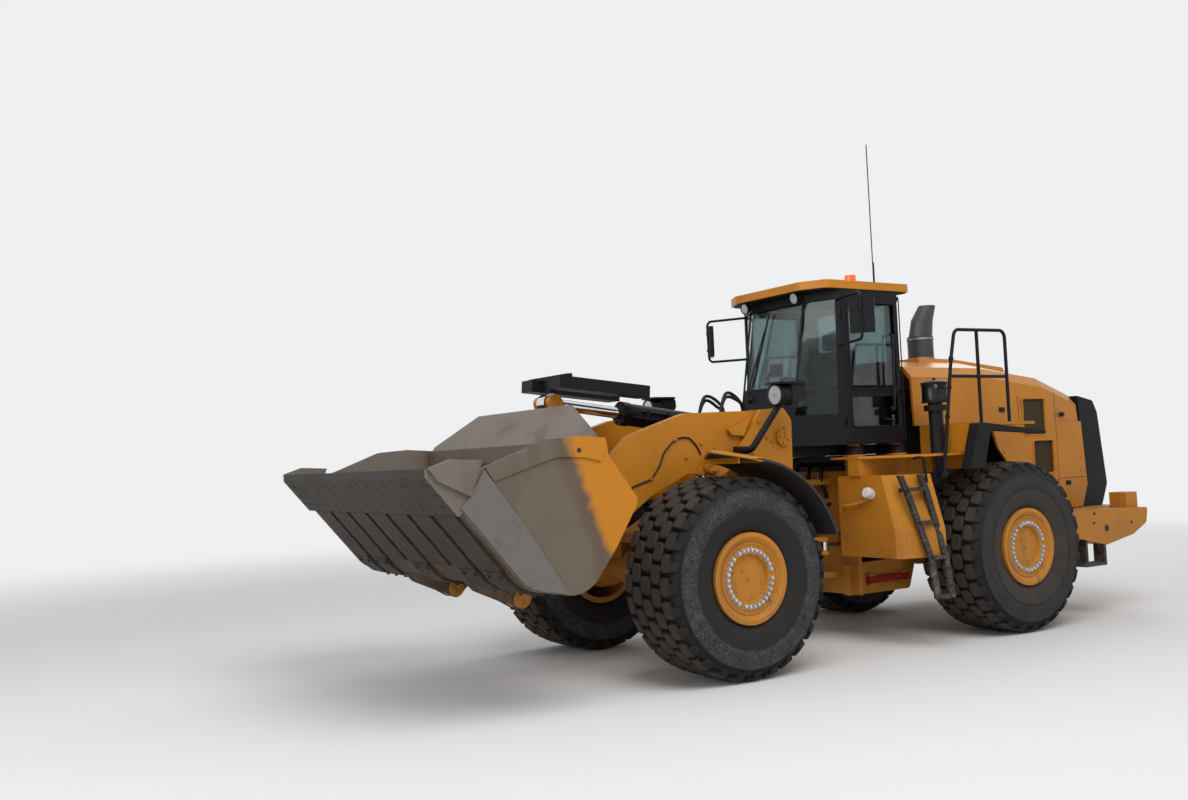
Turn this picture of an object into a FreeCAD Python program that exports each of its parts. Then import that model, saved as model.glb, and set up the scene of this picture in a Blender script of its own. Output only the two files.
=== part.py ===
import FreeCAD, Part
import math
import os

# A large articulated wheel loader with a Z-bar bucket linkage.
# Working frame, in millimetres: X forward, Y to the machine's left, Z up,
# with the ground at Z = 0 and the articulation hitch on the Z axis.
# At the end every piece is moved so that the origin is the middle of the base.

V = FreeCAD.Vector
X_AXIS = V(1, 0, 0)
Y_AXIS = V(0, 1, 0)
Z_AXIS = V(0, 0, 1)
ORIGIN = V(0, 0, 0)

# Running gear
WHEELBASE = 3800.0
TRACK = 2440.0
TYRE_RADIUS = 905.0
TYRE_HALF_WIDTH = 385.0
RIM_FLANGE_RADIUS = 406.0
RIM_SEAT_RADIUS = 372.0
RIM_HALF_WIDTH = 318.0
SPINDLE_RADIUS = 120.0
HUB_CLEARANCE = 0.06
AXLE_TUBE_RADIUS = 150.0
AXLE_DROP_RADIUS = 265.0

# Play that keeps moving pieces apart
SIDE_PLAY = 6.0
FIT_PLAY = 0.06
SLIDE_PLAY = 0.3

# Loader linkage points in the X-Z plane
ARM_PIVOT = (740.0, 2150.0)
BUCKET_PIN = (3758.0, 850.0)
LEVER_TOP = (2985.0, 2565.0)
LEVER_PIVOT = (2634.0, 1689.0)
LEVER_FOOT = (2663.0, 907.0)
BUCKET_LINK_PIN = (3532.0, 975.0)
TILT_BASE = (850.0, 2284.0)
LIFT_BASE = (820.0, 690.0)
LIFT_EYE = (1624.0, 1901.0)

# Linkage plates and pins
ARM_INNER_Y = 600.0
ARM_THICKNESS = 100.0
TOWER_PLATE = 36.0
LIFT_CYLINDER_Y = 450.0
PIN_RADIUS = 55.0
EYE_RADIUS = 100.0

# Cylinders
LIFT_BARREL_RADIUS = 94.0
LIFT_ROD_RADIUS = 53.0
LIFT_GLAND_AT = 1205.0
TILT_BARREL_RADIUS = 112.0
TILT_ROD_RADIUS = 56.0
TILT_GLAND_AT = 1345.0
STEER_BARREL_RADIUS = 58.0
STEER_ROD_RADIUS = 30.0
STEER_GLAND_AT = 780.0

# Bucket, in its own level frame with its hinge pin at the origin
BUCKET_WIDTH = 3447.0
BUCKET_RACK_DEG = 50.0
BUCKET_SIDE = 40.0

# Cab
CAB_FLOOR_Z = 2060.0
CAB_TOP_Z = 3700.0
CAB_REAR_X = -1060.0
CAB_HALF_WIDTH = 780.0
CAB_SIDE_FRONT_X = -130.0
CAB_NOSE_X = 330.0
CAB_NOSE_TOP_X = 45.0
CAB_NOSE_HALF_WIDTH = 430.0
CAB_WALL = 60.0
GLASS_THICKNESS = 8.0
ROOF_THICKNESS = 85.0

# Hood
HOOD_FRONT_X = -1250.0
HOOD_REAR_X = -4189.0
HOOD_HALF_WIDTH = 700.0
HOOD_PANEL = 30.0
HOOD_HINGE = (-4192.0, 2626.0)

# Frames
HITCH_PIN_RADIUS = 62.0
RAIL_OUTER_Y = 500.0
RAIL_THICKNESS = 70.0
AXLE_Z = TYRE_RADIUS
FRONT_AXLE_X = WHEELBASE / 2
REAR_AXLE_X = -WHEELBASE / 2
HANDRAIL_RADIUS = 18.0

nodes = {}


def box(x0, x1, y0, y1, z0, z1):
    return Part.makeBox(x1 - x0, y1 - y0, z1 - z0, V(x0, y0, z0))


def fuse(shapes):
    first, rest = shapes[0], shapes[1:]
    return first.fuse(rest).removeSplitter() if rest else first


def mirrored(shape):
    return shape.mirror(ORIGIN, Y_AXIS)


def both_sides(shape):
    return Part.makeCompound([shape, mirrored(shape)])


def cylinder(start, axis, radius, length):
    return Part.makeCylinder(radius, length, start, axis)


def bar(start, end, radius):
    return Part.makeCylinder(radius, (end - start).Length, start, end - start)


def y_cylinder(point, radius, y0, y1):
    return cylinder(V(point[0], y0, point[1]), Y_AXIS, radius, y1 - y0)


def rounded_wire(points, place):
    """A closed wire through (a, b) or (a, b, corner radius) points."""
    flat = [V(p[0], p[1], 0) for p in points]
    radii = [p[2] if len(p) > 2 else 0.0 for p in points]
    count = len(points)
    starts, ends, mids = [], [], []
    for i in range(count):
        corner = flat[i]
        back = (flat[i - 1] - corner).normalize()
        ahead = (flat[(i + 1) % count] - corner).normalize()
        half = back.getAngle(ahead) / 2
        if radii[i] == 0.0:
            starts.append(corner)
            ends.append(corner)
            mids.append(None)
            continue
        reach = radii[i] / math.tan(half)
        bisector = (back + ahead).normalize()
        starts.append(corner + back * reach)
        ends.append(corner + ahead * reach)
        mids.append(corner + bisector * (radii[i] / math.sin(half) - radii[i]))
    edges = []
    for i in range(count):
        if mids[i] is not None:
            edges.append(Part.Arc(place(starts[i]), place(mids[i]), place(ends[i])).toShape())
        follow = (i + 1) % count
        if (starts[follow] - ends[i]).Length > 1e-6:
            edges.append(Part.LineSegment(place(ends[i]), place(starts[follow])).toShape())
    return Part.Wire(edges)


def side_plate(points, y0, y1):
    """An outline of (x, z) points, extruded from y0 to y1."""
    wire = rounded_wire(points, lambda p: V(p.x, y0, p.y))
    return Part.Face(wire).extrude(V(0, y1 - y0, 0))


def cross_plate(points, x0, x1):
    """An outline of (y, z) points, extruded from x0 to x1."""
    wire = rounded_wire(points, lambda p: V(x0, p.x, p.y))
    return Part.Face(wire).extrude(V(x1 - x0, 0, 0))


def flat_plate(points, z0, z1):
    """An outline of (x, y) points, extruded from z0 to z1."""
    wire = rounded_wire(points, lambda p: V(p.x, p.y, z0))
    return Part.Face(wire).extrude(V(0, 0, z1 - z0))


def loft(sections):
    return Part.makeLoft([Part.makePolygon(s + [s[0]]) for s in sections], True, True)


def turned(profile, centre, axis=Y_AXIS):
    """A profile of (offset along the axis, radius) points, revolved about the axis."""
    side = Z_AXIS if axis.dot(Z_AXIS) < 0.5 else X_AXIS
    side = (side - axis * side.dot(axis)).normalize()
    wire = rounded_wire(profile, lambda p: centre + axis * p.x + side * p.y)
    return Part.Face(wire).revolve(centre, axis, 360)


def bent_tube(points, radius, bend):
    """A round tube along straight runs joined by tangent arcs."""
    edges = []
    at = points[0]
    for before, corner, after in zip(points, points[1:], points[2:]):
        back = (before - corner).normalize()
        ahead = (after - corner).normalize()
        half = back.getAngle(ahead) / 2
        reach = bend / math.tan(half)
        middle = corner + (back + ahead).normalize() * (bend / math.sin(half) - bend)
        edges.append(Part.LineSegment(at, corner + back * reach).toShape())
        edges.append(Part.Arc(corner + back * reach, middle, corner + ahead * reach).toShape())
        at = corner + ahead * reach
    edges.append(Part.LineSegment(at, points[-1]).toShape())
    ring = Part.Wire([Part.Circle(points[0], points[1] - points[0], radius).toShape()])
    return Part.Wire(edges).makePipeShell([ring], True, False)


def direction(start, end):
    return V(end[0] - start[0], 0, end[1] - start[1]).normalize()


def level_to_rest(x, z):
    """A point of the level bucket frame, where the racked bucket holds it."""
    angle = math.radians(BUCKET_RACK_DEG)
    return (BUCKET_PIN[0] + x * math.cos(angle) - z * math.sin(angle),
            BUCKET_PIN[1] + x * math.sin(angle) + z * math.cos(angle))


def cylinder_pair(base, eye, y_mid, base_half, y_half, barrel_radius, rod_radius, gland_at, stroke_in,
                  stroke_out):
    """A barrel and its rod between two points of the X-Z plane, as it stands at rest."""
    along = direction(base, eye)
    length = math.dist(base, eye)
    bore = barrel_radius - 16
    foot = V(base[0], y_mid, base[1])
    tail_at = gland_at - 110 - stroke_out
    barrel = fuse([
        cylinder(foot + along * (EYE_RADIUS * 0.6), along, barrel_radius, gland_at - EYE_RADIUS * 0.6),
        cylinder(foot + along * (gland_at - 90), along, barrel_radius + 8, 90),
        y_cylinder(base, EYE_RADIUS, y_mid - base_half, y_mid + base_half)])
    hollow = cylinder(foot + along * (tail_at - stroke_in - 12), along, bore, gland_at - 60 - tail_at
                      + stroke_in + 12)
    mouth = cylinder(foot + along * (gland_at - 70), along, rod_radius + SLIDE_PLAY, 80)
    pin_hole = y_cylinder(base, PIN_RADIUS + FIT_PLAY, y_mid - base_half - 1, y_mid + base_half + 1)
    barrel = barrel.cut([hollow, mouth, pin_hole])
    rod = fuse([
        cylinder(foot + along * tail_at, along, rod_radius, length - tail_at),
        cylinder(foot + along * tail_at, along, bore - SLIDE_PLAY, 45),
        y_cylinder(eye, EYE_RADIUS * 0.92, y_mid - y_half, y_mid + y_half)])
    return barrel, rod


# Wheels: a wide tyre on a dished rim, made round the wheel's own centre.
def make_tyre(centre):
    w = TYRE_HALF_WIDTH
    r = TYRE_RADIUS
    seat = RIM_SEAT_RADIUS
    outer = [(w - 77, seat), (w - 67, RIM_FLANGE_RADIUS + 5), (w - 50, RIM_FLANGE_RADIUS + 18),
             (w + 8, 600, 90),
             (w - 6, r - 150, 60), (w - 38, r - 34, 30), (w - 90, r - 4, 60), (0, r)]
    inner = [(w - 145, seat), (w - 145, seat + 50, 20), (w - 50, 600, 80), (w - 70, r - 110, 70)]
    profile = outer + [(-p[0],) + p[1:] for p in reversed(outer[:-1])]
    profile += [(-p[0],) + p[1:] for p in inner] + list(reversed(inner))
    return turned(profile, centre)


def make_rim(centre, outward):
    h = RIM_HALF_WIDTH
    f = RIM_FLANGE_RADIUS
    barrel = turned([(-h - 30, RIM_SEAT_RADIUS - 22), (-h - 26, f), (-h - 4, f), (-h + 4, RIM_SEAT_RADIUS),
                     (h - 4, RIM_SEAT_RADIUS), (h + 4, f), (h + 40, f), (h + 44, RIM_SEAT_RADIUS - 4),
                     (h + 30, RIM_SEAT_RADIUS - 26), (h - 60, RIM_SEAT_RADIUS - 34)], centre, outward)
    wall = RIM_SEAT_RADIUS - 22
    face = RIM_HALF_WIDTH + 8
    dish = turned([(60, SPINDLE_RADIUS + HUB_CLEARANCE), (60, 230), (face - 86, 250), (face - 41, wall - 20),
                   (face - 41, wall), (face + 19, wall), (face, wall - 28), (face + 8, wall - 32),
                   (face + 8, wall - 48),
                   (face, wall - 52), (face, 214), (face - 30, 206), (face - 30, 0), (206, 0),
                   (206, SPINDLE_RADIUS + HUB_CLEARANCE)], centre, outward)
    return fuse([barrel, dish])


for label, axle_x, side in (("front_left", FRONT_AXLE_X, 1), ("front_right", FRONT_AXLE_X, -1),
                            ("rear_left", REAR_AXLE_X, 1), ("rear_right", REAR_AXLE_X, -1)):
    wheel_centre = V(axle_x, side * TRACK / 2, AXLE_Z)
    nodes[label + "_tyre"] = make_tyre(wheel_centre)
    nodes[label + "_rim"] = make_rim(wheel_centre, Y_AXIS * side)


# Axles: a drop housing, tapered tubes, brake housings and the fixed spindles.
def make_axle(axle_x):
    centre = V(axle_x, 0, AXLE_Z)
    half = [(0, 0), (0, AXLE_DROP_RADIUS, 40), (130, AXLE_DROP_RADIUS - 10, 60),
            (280, AXLE_TUBE_RADIUS + 20, 60),
            (700, AXLE_TUBE_RADIUS - 15), (720, 215), (860, 215), (880, 236), (940, 236),
            (960, SPINDLE_RADIUS),
            (TRACK / 2 + 200, SPINDLE_RADIUS), (TRACK / 2 + 200, 0)]
    arm = turned(half, centre, Y_AXIS)
    housing = fuse([arm, mirrored(arm)])
    nose = 1 if axle_x < 0 else -1
    pinion = cylinder(centre, X_AXIS * nose, 120, AXLE_DROP_RADIUS + 160)
    flange = cylinder(centre + X_AXIS * nose * (AXLE_DROP_RADIUS + 130), X_AXIS * nose, 90, 90)
    return fuse([housing, pinion, flange])


PAD_TOP = 1180.0
pads = [box(axle_x - 150, axle_x + 150, y - 110, y + 110, AXLE_Z + 100, PAD_TOP)
        for axle_x in (FRONT_AXLE_X, REAR_AXLE_X) for y in (-380, 380)]

# Drive line along the middle, in two halves that stop short of each other at the hitch.
SHAFT_Z = AXLE_Z
SHAFT_RADIUS = 52.0
SHAFT_END_X = 300.0
GEARBOX_X = (-1140.0, -720.0)
shaft_reach = AXLE_DROP_RADIUS + 200
front_shaft = [cylinder(V(SHAFT_END_X, 0, SHAFT_Z), X_AXIS, SHAFT_RADIUS,
                        FRONT_AXLE_X - shaft_reach - SHAFT_END_X),
               cylinder(V(SHAFT_END_X, 0, SHAFT_Z), X_AXIS, 85, 40)]
rear_shaft = [bar(V(REAR_AXLE_X + shaft_reach, 0, SHAFT_Z), V(GEARBOX_X[0], 0, SHAFT_Z), SHAFT_RADIUS)]
nodes["front_axle"] = fuse([make_axle(FRONT_AXLE_X)] + pads[:2] + front_shaft)
nodes["rear_axle"] = fuse([make_axle(REAR_AXLE_X)] + pads[2:] + rear_shaft)


# Decks beside the cab
DECK_Z = 1930.0
DECK_PLATE = 25.0
UPPER_DECK_Z = 2235.0

# Rear frame: deep side rails, a front bulkhead with round cut-outs, and the hitch lugs.
RAIL_FRONT_X = -300.0
ENGINE_SEAT_Z = 1420.0
RADIATOR_SEAT_Z = 1230.0
RAIL_REAR_X = -3960.0
rail_outline = [(RAIL_FRONT_X, 460, 30), (-1230, 460, 60), (-1420, 1000, 120),
                (REAR_AXLE_X + 340, PAD_TOP, 60),
                (REAR_AXLE_X - 360, PAD_TOP, 60), (REAR_AXLE_X - 580, 900, 120), (-3500, 830, 80),
                (RAIL_REAR_X, 860),
                (RAIL_REAR_X, RADIATOR_SEAT_Z), (-3545, RADIATOR_SEAT_Z), (-3500, 1290),
                (-2300, ENGINE_SEAT_Z, 80),
                (-1500, ENGINE_SEAT_Z, 80), (-1250, 800, 120), (RAIL_FRONT_X, 790)]
rail = side_plate(rail_outline, RAIL_OUTER_Y - RAIL_THICKNESS, RAIL_OUTER_Y)
BULKHEAD_X = (-400.0, -350.0)
HITCH_UPPER = (1640.0, 1700.0)
HITCH_LOWER = (640.0, 700.0)
TANK_INNER_Y = 620.0
bulkhead = cross_plate([(-TANK_INNER_Y, 470), (TANK_INNER_Y, 470), (TANK_INNER_Y, 1780),
                        (-TANK_INNER_Y, 1780)], *BULKHEAD_X)
round_cut = cylinder(V(BULKHEAD_X[0] - 1, 823, 1250), X_AXIS, 430, 60)
steer_gap = box(BULKHEAD_X[0] - 1, BULKHEAD_X[1] + 1, 330, TANK_INNER_Y + 1, 900, 1130)
shaft_gap = cylinder(V(BULKHEAD_X[0] - 1, 0, SHAFT_Z), X_AXIS, 110, 60)
bulkhead = bulkhead.cut([round_cut, mirrored(round_cut), steer_gap, mirrored(steer_gap), shaft_gap])
lug = [(BULKHEAD_X[1], -300), (-60, -150), (-60 + 130, -110, 80), (70, 110, 80), (-60, 150),
       (BULKHEAD_X[1], 300)]
hitch_pins = [cylinder(V(0, 0, 560), Z_AXIS, HITCH_PIN_RADIUS, 220),
              cylinder(V(0, 0, 1560), Z_AXIS, HITCH_PIN_RADIUS, 220)]
cross_members = [box(x - 60, x + 60, -RAIL_OUTER_Y + 20, RAIL_OUTER_Y - 20, z - 90, z + 90)
                 for x, z in ((-600, 620), (-1150, 620), (-1520, 1330), (-2320, 1330), (-3100, 1330),
                              (-3880, 1050))]
upper_frame = [box(-1450, BULKHEAD_X[1], y - 60, y + 60, 1780, DECK_Z - DECK_PLATE) for y in (-560, 560)]
uprights = [box(-1450, -1360, y - 60, y + 60, 1200, 1790) for y in (-460, 460)]
nodes["rear_frame"] = fuse([rail, mirrored(rail)] + cross_members + uprights)
nodes["hitch_bulkhead"] = fuse([bulkhead, flat_plate(lug, *HITCH_UPPER), flat_plate(lug, *HITCH_LOWER)]
                               + hitch_pins
                               + upper_frame).cut(nodes["rear_frame"])

# The engine is one plain block at its real place and size.
nodes["engine"] = box(-3250, -1750, -400, 400, ENGINE_SEAT_Z, 2330)
nodes["radiator"] = box(-4120, -3560, -560, 560, RADIATOR_SEAT_Z, 2480)
nodes["transmission"] = fuse([box(*GEARBOX_X, -340, 340, 710, 1560),
                              box(-1750, GEARBOX_X[0], -300, 300, 1440, 1750),
                              bar(V(GEARBOX_X[1], 0, SHAFT_Z), V(-SHAFT_END_X, 0, SHAFT_Z), SHAFT_RADIUS),
                              bar(V(-SHAFT_END_X - 40, 0, SHAFT_Z), V(-SHAFT_END_X, 0, SHAFT_Z), 85)])

# Counterweight: a casting with upswept ends that carries the rear steps.
CW_TOP = 1190.0
TOW_LOW = 960.0
TOW_TOP = 1110.0
TOW_X = -4645.0
TOW_PIN_RADIUS = 25.0
CW_FRONT_X = REAR_AXLE_X - 1110
cw_side = [(CW_FRONT_X, 1200, 40), (CW_FRONT_X - 50, 900, 60), (-3610, 790, 60), (-4130, 880, 60),
           (-4400, 1000, 60), (-4440, 1180, 30)]
cw_wing = side_plate(cw_side, 830, 1330)
cw_middle = side_plate([(RAIL_REAR_X, CW_TOP), (RAIL_REAR_X, 830, 80), (-4180, 800, 80),
                        (-4430, TOW_LOW, 60), (-4640, TOW_LOW, 30),
                        (-4695, 1000, 20), (-4695, CW_TOP)], -1000, 1000)
tow_pocket = fuse([box(-4800, -4520, -90, 90, TOW_LOW + 50, TOW_TOP - 50),
                   box(-4800, -4600, -130, 130, TOW_TOP, CW_TOP + 10)])
tow_hole = cylinder(V(TOW_X, 0, 800), Z_AXIS, TOW_PIN_RADIUS, 500)
lamp_post = box(-4400, -4180, 1010, 1230, 1150, 1365)
nodes["counterweight"] = fuse([cw_wing, mirrored(cw_wing), cw_middle, lamp_post, mirrored(lamp_post)]).cut(
    fuse([box(RAIL_REAR_X, -3000, -760, 760, 700, 1300), tow_pocket, tow_hole]))
step_frame = fuse([box(-3600, -3560, 1180, 1320, 560, 860), box(-3260, -3220, 1180, 1320, 560, 860),
                   box(-3600, -3220, 1180, 1320, 560, 600)])
rear_steps = both_sides(step_frame.cut(nodes["counterweight"]))


# Hood: an arched shell with raised middle panel, open at the back and below.
def hood_section(x, half_width, side_bottom, side_top, crown):
    """Half of a cross-section from the bottom of the side to the crown, then mirrored."""
    near = [V(x, half_width, side_bottom), V(x, half_width - 20, side_top - 120),
            V(x, half_width - 130, side_top),
            V(x, 260, crown)]
    far = [V(p.x, -p.y, p.z) for p in reversed(near)]
    return near + far


HOOD_SECTIONS = (
    # x, half width, bottom of the side, top of the side, crown
    (HOOD_FRONT_X, 690, 2230, 2900, 2990),
    (-2500, 700, 2230, 2895, 2985),
    (-3500, 705, 2230, 2780, 2860),
    (HOOD_REAR_X, 650, 2230, 2575, 2600),
)


def hood_solid(inset):
    sections = []
    for x, half, low, top, crown in HOOD_SECTIONS:
        sections.append(hood_section(x, half - inset, low - 40, top - inset, crown - inset))
    return loft(sections)


hood_outer = hood_solid(0.0)
hood_trim = box(-5000, -1000, -900, 900, 2000, 2240)
hood_top = hood_outer.cut([hood_solid(HOOD_PANEL), hood_trim])
hood_side_outline = [(-2500, 2242), (-2600, 1950, 150), (-2960, 1560, 150), (-3130, 1200), (-4110, 1200),
                     (-4225, 1468), (-4170, 2242)]
hood_side = side_plate(hood_side_outline, HOOD_HALF_WIDTH - HOOD_PANEL, HOOD_HALF_WIDTH)
INTAKES = (
    # x rear, x front, z low, z high
    (-3480, -3080, 2100, 2520),
    (-3600, -3240, 1640, 2020),
)
intake_cuts = [box(x0, x1, -900, 900, z0, z1) for x0, x1, z0, z1 in INTAKES]
raised_panel = loft([[V(x, -230, crown - 12), V(x, 230, crown - 12), V(x, 200, crown + 60),
                      V(x, -200, crown + 60)]
                     for x, crown in ((-1900, 2985), (-2500, 2975), (-3400, 2885))])
hood_knuckles = [fuse([y_cylinder(HOOD_HINGE, 22, y0, y1),
                       box(HOOD_HINGE[0], HOOD_HINGE[0] + 120, y0, y1, HOOD_HINGE[1] - 40, HOOD_HINGE[1]
                           + 8)])
                 for y0, y1 in ((240, 300), (-300, -240))]
hinge_bores = [y_cylinder(HOOD_HINGE, 12 + FIT_PLAY, y0, y1) for y0, y1 in ((239, 301), (-301, -239))]
hood = fuse([hood_top, hood_side, mirrored(hood_side), raised_panel] + hood_knuckles)
hinge_room = [box(HOOD_HINGE[0] - 60, HOOD_REAR_X + 12, y0, y1, 2560, 2640) for y0,
              y1 in ((300, 345), (-345, -300))]
nodes["hood"] = hood.cut(intake_cuts + hinge_bores + hinge_room)
nodes["hood_screens"] = Part.makeCompound([
    box(x0, x1, side * 680 - 5, side * 680 + 5, z0, z1)
    for x0, x1, z0, z1 in INTAKES for side in (-1, 1)])

# Exhaust stack: an oval pipe with a swept-back tip.
stack_base = cylinder(V(-2180, 0, 2990), Z_AXIS, 150, 330)
stack_tip = Part.makeLoft([
    Part.Wire([Part.Ellipse(V(-2190, 0, 3320), 165, 110).toShape()]),
    Part.Wire([Part.Ellipse(V(-2230, 0, 3520), 150, 105).toShape()]),
    Part.Wire([Part.Ellipse(V(-2330, 0, 3700), 110, 90).toShape()])], True, True)
nodes["exhaust_stack"] = fuse([stack_base, stack_tip]).cut(nodes["hood"])

# Rear grille: the black louvred end of the body behind the hood.
grille_outline = [(HOOD_REAR_X - 12, 2560), (-4500, 2500, 40), (-4580, 2350, 40), (-4697, 1460, 120),
                  (-4569, CW_TOP, 40),
                  (-4150, CW_TOP), (-4262, 1468)]
grille_body = side_plate(grille_outline, -650, 650)
grille_hollow = side_plate([(-4180, 2500), (-4440, 2440), (-4640, 1460), (-4530, 1240), (-4150, 1240)],
                           -600, 600)
LOUVRES = (
    # rear x, lower z
    (-4655, 1400), (-4650, 1560), (-4630, 1720), (-4610, 1880), (-4590, 2040), (-4570, 2200), (-4550, 2350),
)
louvres = [box(x + 12, x + 130, -625, 625, z, z + 22) for x, z in LOUVRES]
louvre_opening = side_plate([(-4750, 1330), (-4600, 1330), (-4490, 2420), (-4750, 2420)], -570, 570)
hinge_ears = [side_plate([(HOOD_HINGE[0] - 24, HOOD_HINGE[1] + 22, 18),
                          (HOOD_HINGE[0] + 22, HOOD_HINGE[1] + 22, 18),
                          (HOOD_HINGE[0] + 22, HOOD_HINGE[1] - 22, 18), (HOOD_REAR_X - 14, 2585),
                          (HOOD_REAR_X - 14, 2540),
                          (HOOD_REAR_X - 100, 2520)], y0, y1) for y0, y1 in ((306, 336), (-336, -306))]
hinge_pins = [y_cylinder(HOOD_HINGE, 12, y0, y1) for y0, y1 in ((240, 336), (-336, -240))]
nodes["rear_grille"] = fuse([grille_body.cut([grille_hollow, louvre_opening])] + louvres + hinge_ears
                            + hinge_pins)


# Cab: one shell whose windows are cut out, split into body, door, roof and floor.
def cab_plan(z, inset):
    t = (z - CAB_FLOOR_Z) / (CAB_TOP_Z - CAB_FLOOR_Z)
    nose = CAB_NOSE_X + (CAB_NOSE_TOP_X - CAB_NOSE_X) * t - inset
    half = CAB_HALF_WIDTH - inset
    nose_half = CAB_NOSE_HALF_WIDTH - inset * 0.6
    rear = CAB_REAR_X + inset
    near = [(nose, nose_half), (CAB_SIDE_FRONT_X, half), (rear + 90, half), (rear, half - 90)]
    far = [(x, -y) for x, y in reversed(near)]
    return [V(x, y, z) for x, y in near + far]


def cab_solid(inset, z0, z1):
    return loft([cab_plan(z0, inset), cab_plan(z1, inset)])


cab_shell = cab_solid(0, CAB_FLOOR_Z, CAB_TOP_Z).cut(cab_solid(CAB_WALL, CAB_FLOOR_Z + 50, CAB_TOP_Z + 10))
DOOR_X = (-1000.0, -145.0)
DOOR_Z = (CAB_FLOOR_Z + 30, CAB_TOP_Z - 60)
DOOR_GAP = 6.0
door_zone = box(DOOR_X[0], DOOR_X[1], CAB_HALF_WIDTH - CAB_WALL - 1, CAB_HALF_WIDTH + 1, *DOOR_Z)
door_space = box(DOOR_X[0] - DOOR_GAP, DOOR_X[1] + DOOR_GAP, CAB_HALF_WIDTH - CAB_WALL - 2, CAB_HALF_WIDTH
                 + 2,
                 DOOR_Z[0] - DOOR_GAP, DOOR_Z[1] + DOOR_GAP)
SILL_Z = 2640.0
LOW_GLASS_Z = 2240.0
HEAD_Z = CAB_TOP_Z - 110
WINDSCREEN_LOW_Z = 2700.0
CORNER_LOW_Z = 2385.0
window_cuts = [
    box(-200, 500, -CAB_NOSE_HALF_WIDTH - 6, CAB_NOSE_HALF_WIDTH + 6, WINDSCREEN_LOW_Z, HEAD_Z),
    box(CAB_REAR_X - 50, CAB_REAR_X + 150, -560, 560, SILL_Z, HEAD_Z),
    box(-930, -200, -CAB_HALF_WIDTH - 50, -CAB_HALF_WIDTH + 150, LOW_GLASS_Z + 300, HEAD_Z),
]


def corner_window(z):
    """Plan of the cut through the slanted corner panel at one height."""
    nose = cab_plan(z, 0)[0]
    side = cab_plan(z, 0)[1]
    along = nose - side
    across = V(-along.y, along.x, 0).normalize()
    near, far = side + along * 0.14, side + along * 0.99
    return [near + across * 110, far + across * 110, far - across * 70, near - across * 70]


corner_cut = loft([corner_window(CORNER_LOW_Z), corner_window(HEAD_Z)]).cut(window_cuts[0])
door_window_cuts = [box(DOOR_X[0] + 80, DOOR_X[1] - 80, 600, 900, SILL_Z, HEAD_Z - 30),
                    box(DOOR_X[0] + 80, DOOR_X[1] - 80, 600, 900, LOW_GLASS_Z, SILL_Z - 70)]
cab_body = cab_shell.cut(window_cuts + [door_space])
DOOR_HINGE = (-142.0, CAB_HALF_WIDTH + 17)
HINGE_Z = (2300.0, 3430.0)
jamb_leaves = []
door_leaves = []
for z in HINGE_Z:
    jamb_leaves += [box(-139, -112, 768, DOOR_HINGE[1] - 6, z - 45, z - 1),
                    cylinder(V(*DOOR_HINGE, z - 45), Z_AXIS, 13, 44),
                    cylinder(V(*DOOR_HINGE, z - 45), Z_AXIS, 7, 90)]
    door_leaves += [box(-230, -146, CAB_HALF_WIDTH - 2, CAB_HALF_WIDTH + 8, z + 1, z + 45),
                    box(-160, -142, CAB_HALF_WIDTH - 2, DOOR_HINGE[1], z + 1, z + 45),
                    cylinder(V(*DOOR_HINGE, z + 1), Z_AXIS, 13, 44)]
door_bores = [cylinder(V(*DOOR_HINGE, z - 50), Z_AXIS, 7 + FIT_PLAY, 100) for z in HINGE_Z]
nodes["cab_body"] = fuse([cab_body.cut([corner_cut, mirrored(corner_cut)])] + jamb_leaves)
door_shell = cab_shell.common(door_zone)
door_handle = fuse([box(-975, -950, CAB_HALF_WIDTH - 1, CAB_HALF_WIDTH + 30, 2480, 2500),
                    box(-975, -950, CAB_HALF_WIDTH - 1, CAB_HALF_WIDTH + 30, 2600, 2620),
                    box(-975, -950, CAB_HALF_WIDTH + 20, CAB_HALF_WIDTH + 34, 2480, 2620)])
nodes["cab_door"] = fuse([door_shell.cut(door_window_cuts), door_handle] + door_leaves).cut(door_bores)
nodes["door_glass"] = Part.makeCompound([
    box(DOOR_X[0] + 80, DOOR_X[1] - 80, CAB_HALF_WIDTH - 34, CAB_HALF_WIDTH - 26, SILL_Z, HEAD_Z - 30),
    box(DOOR_X[0] + 80, DOOR_X[1] - 80, CAB_HALF_WIDTH - 34, CAB_HALF_WIDTH - 26, LOW_GLASS_Z, SILL_Z - 70)])
glass_layer = cab_solid(24, CAB_FLOOR_Z, CAB_TOP_Z).cut(cab_solid(24 + GLASS_THICKNESS, CAB_FLOOR_Z - 10,
                                                                  CAB_TOP_Z + 10))
nodes["cab_glass"] = Part.makeCompound(
    [glass_layer.common(c) for c in window_cuts] + [glass_layer.common(c) for c in (corner_cut,
                                                                                    mirrored(corner_cut))])
roof_plan = [(-1180, -790, 60), (60, -790, 120), (200, -520, 120), (200, 520, 120), (60, 790, 120),
             (-1180, 790, 60)]
nodes["cab_roof"] = flat_plate(roof_plan, CAB_TOP_Z, CAB_TOP_Z + ROOF_THICKNESS)

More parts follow.
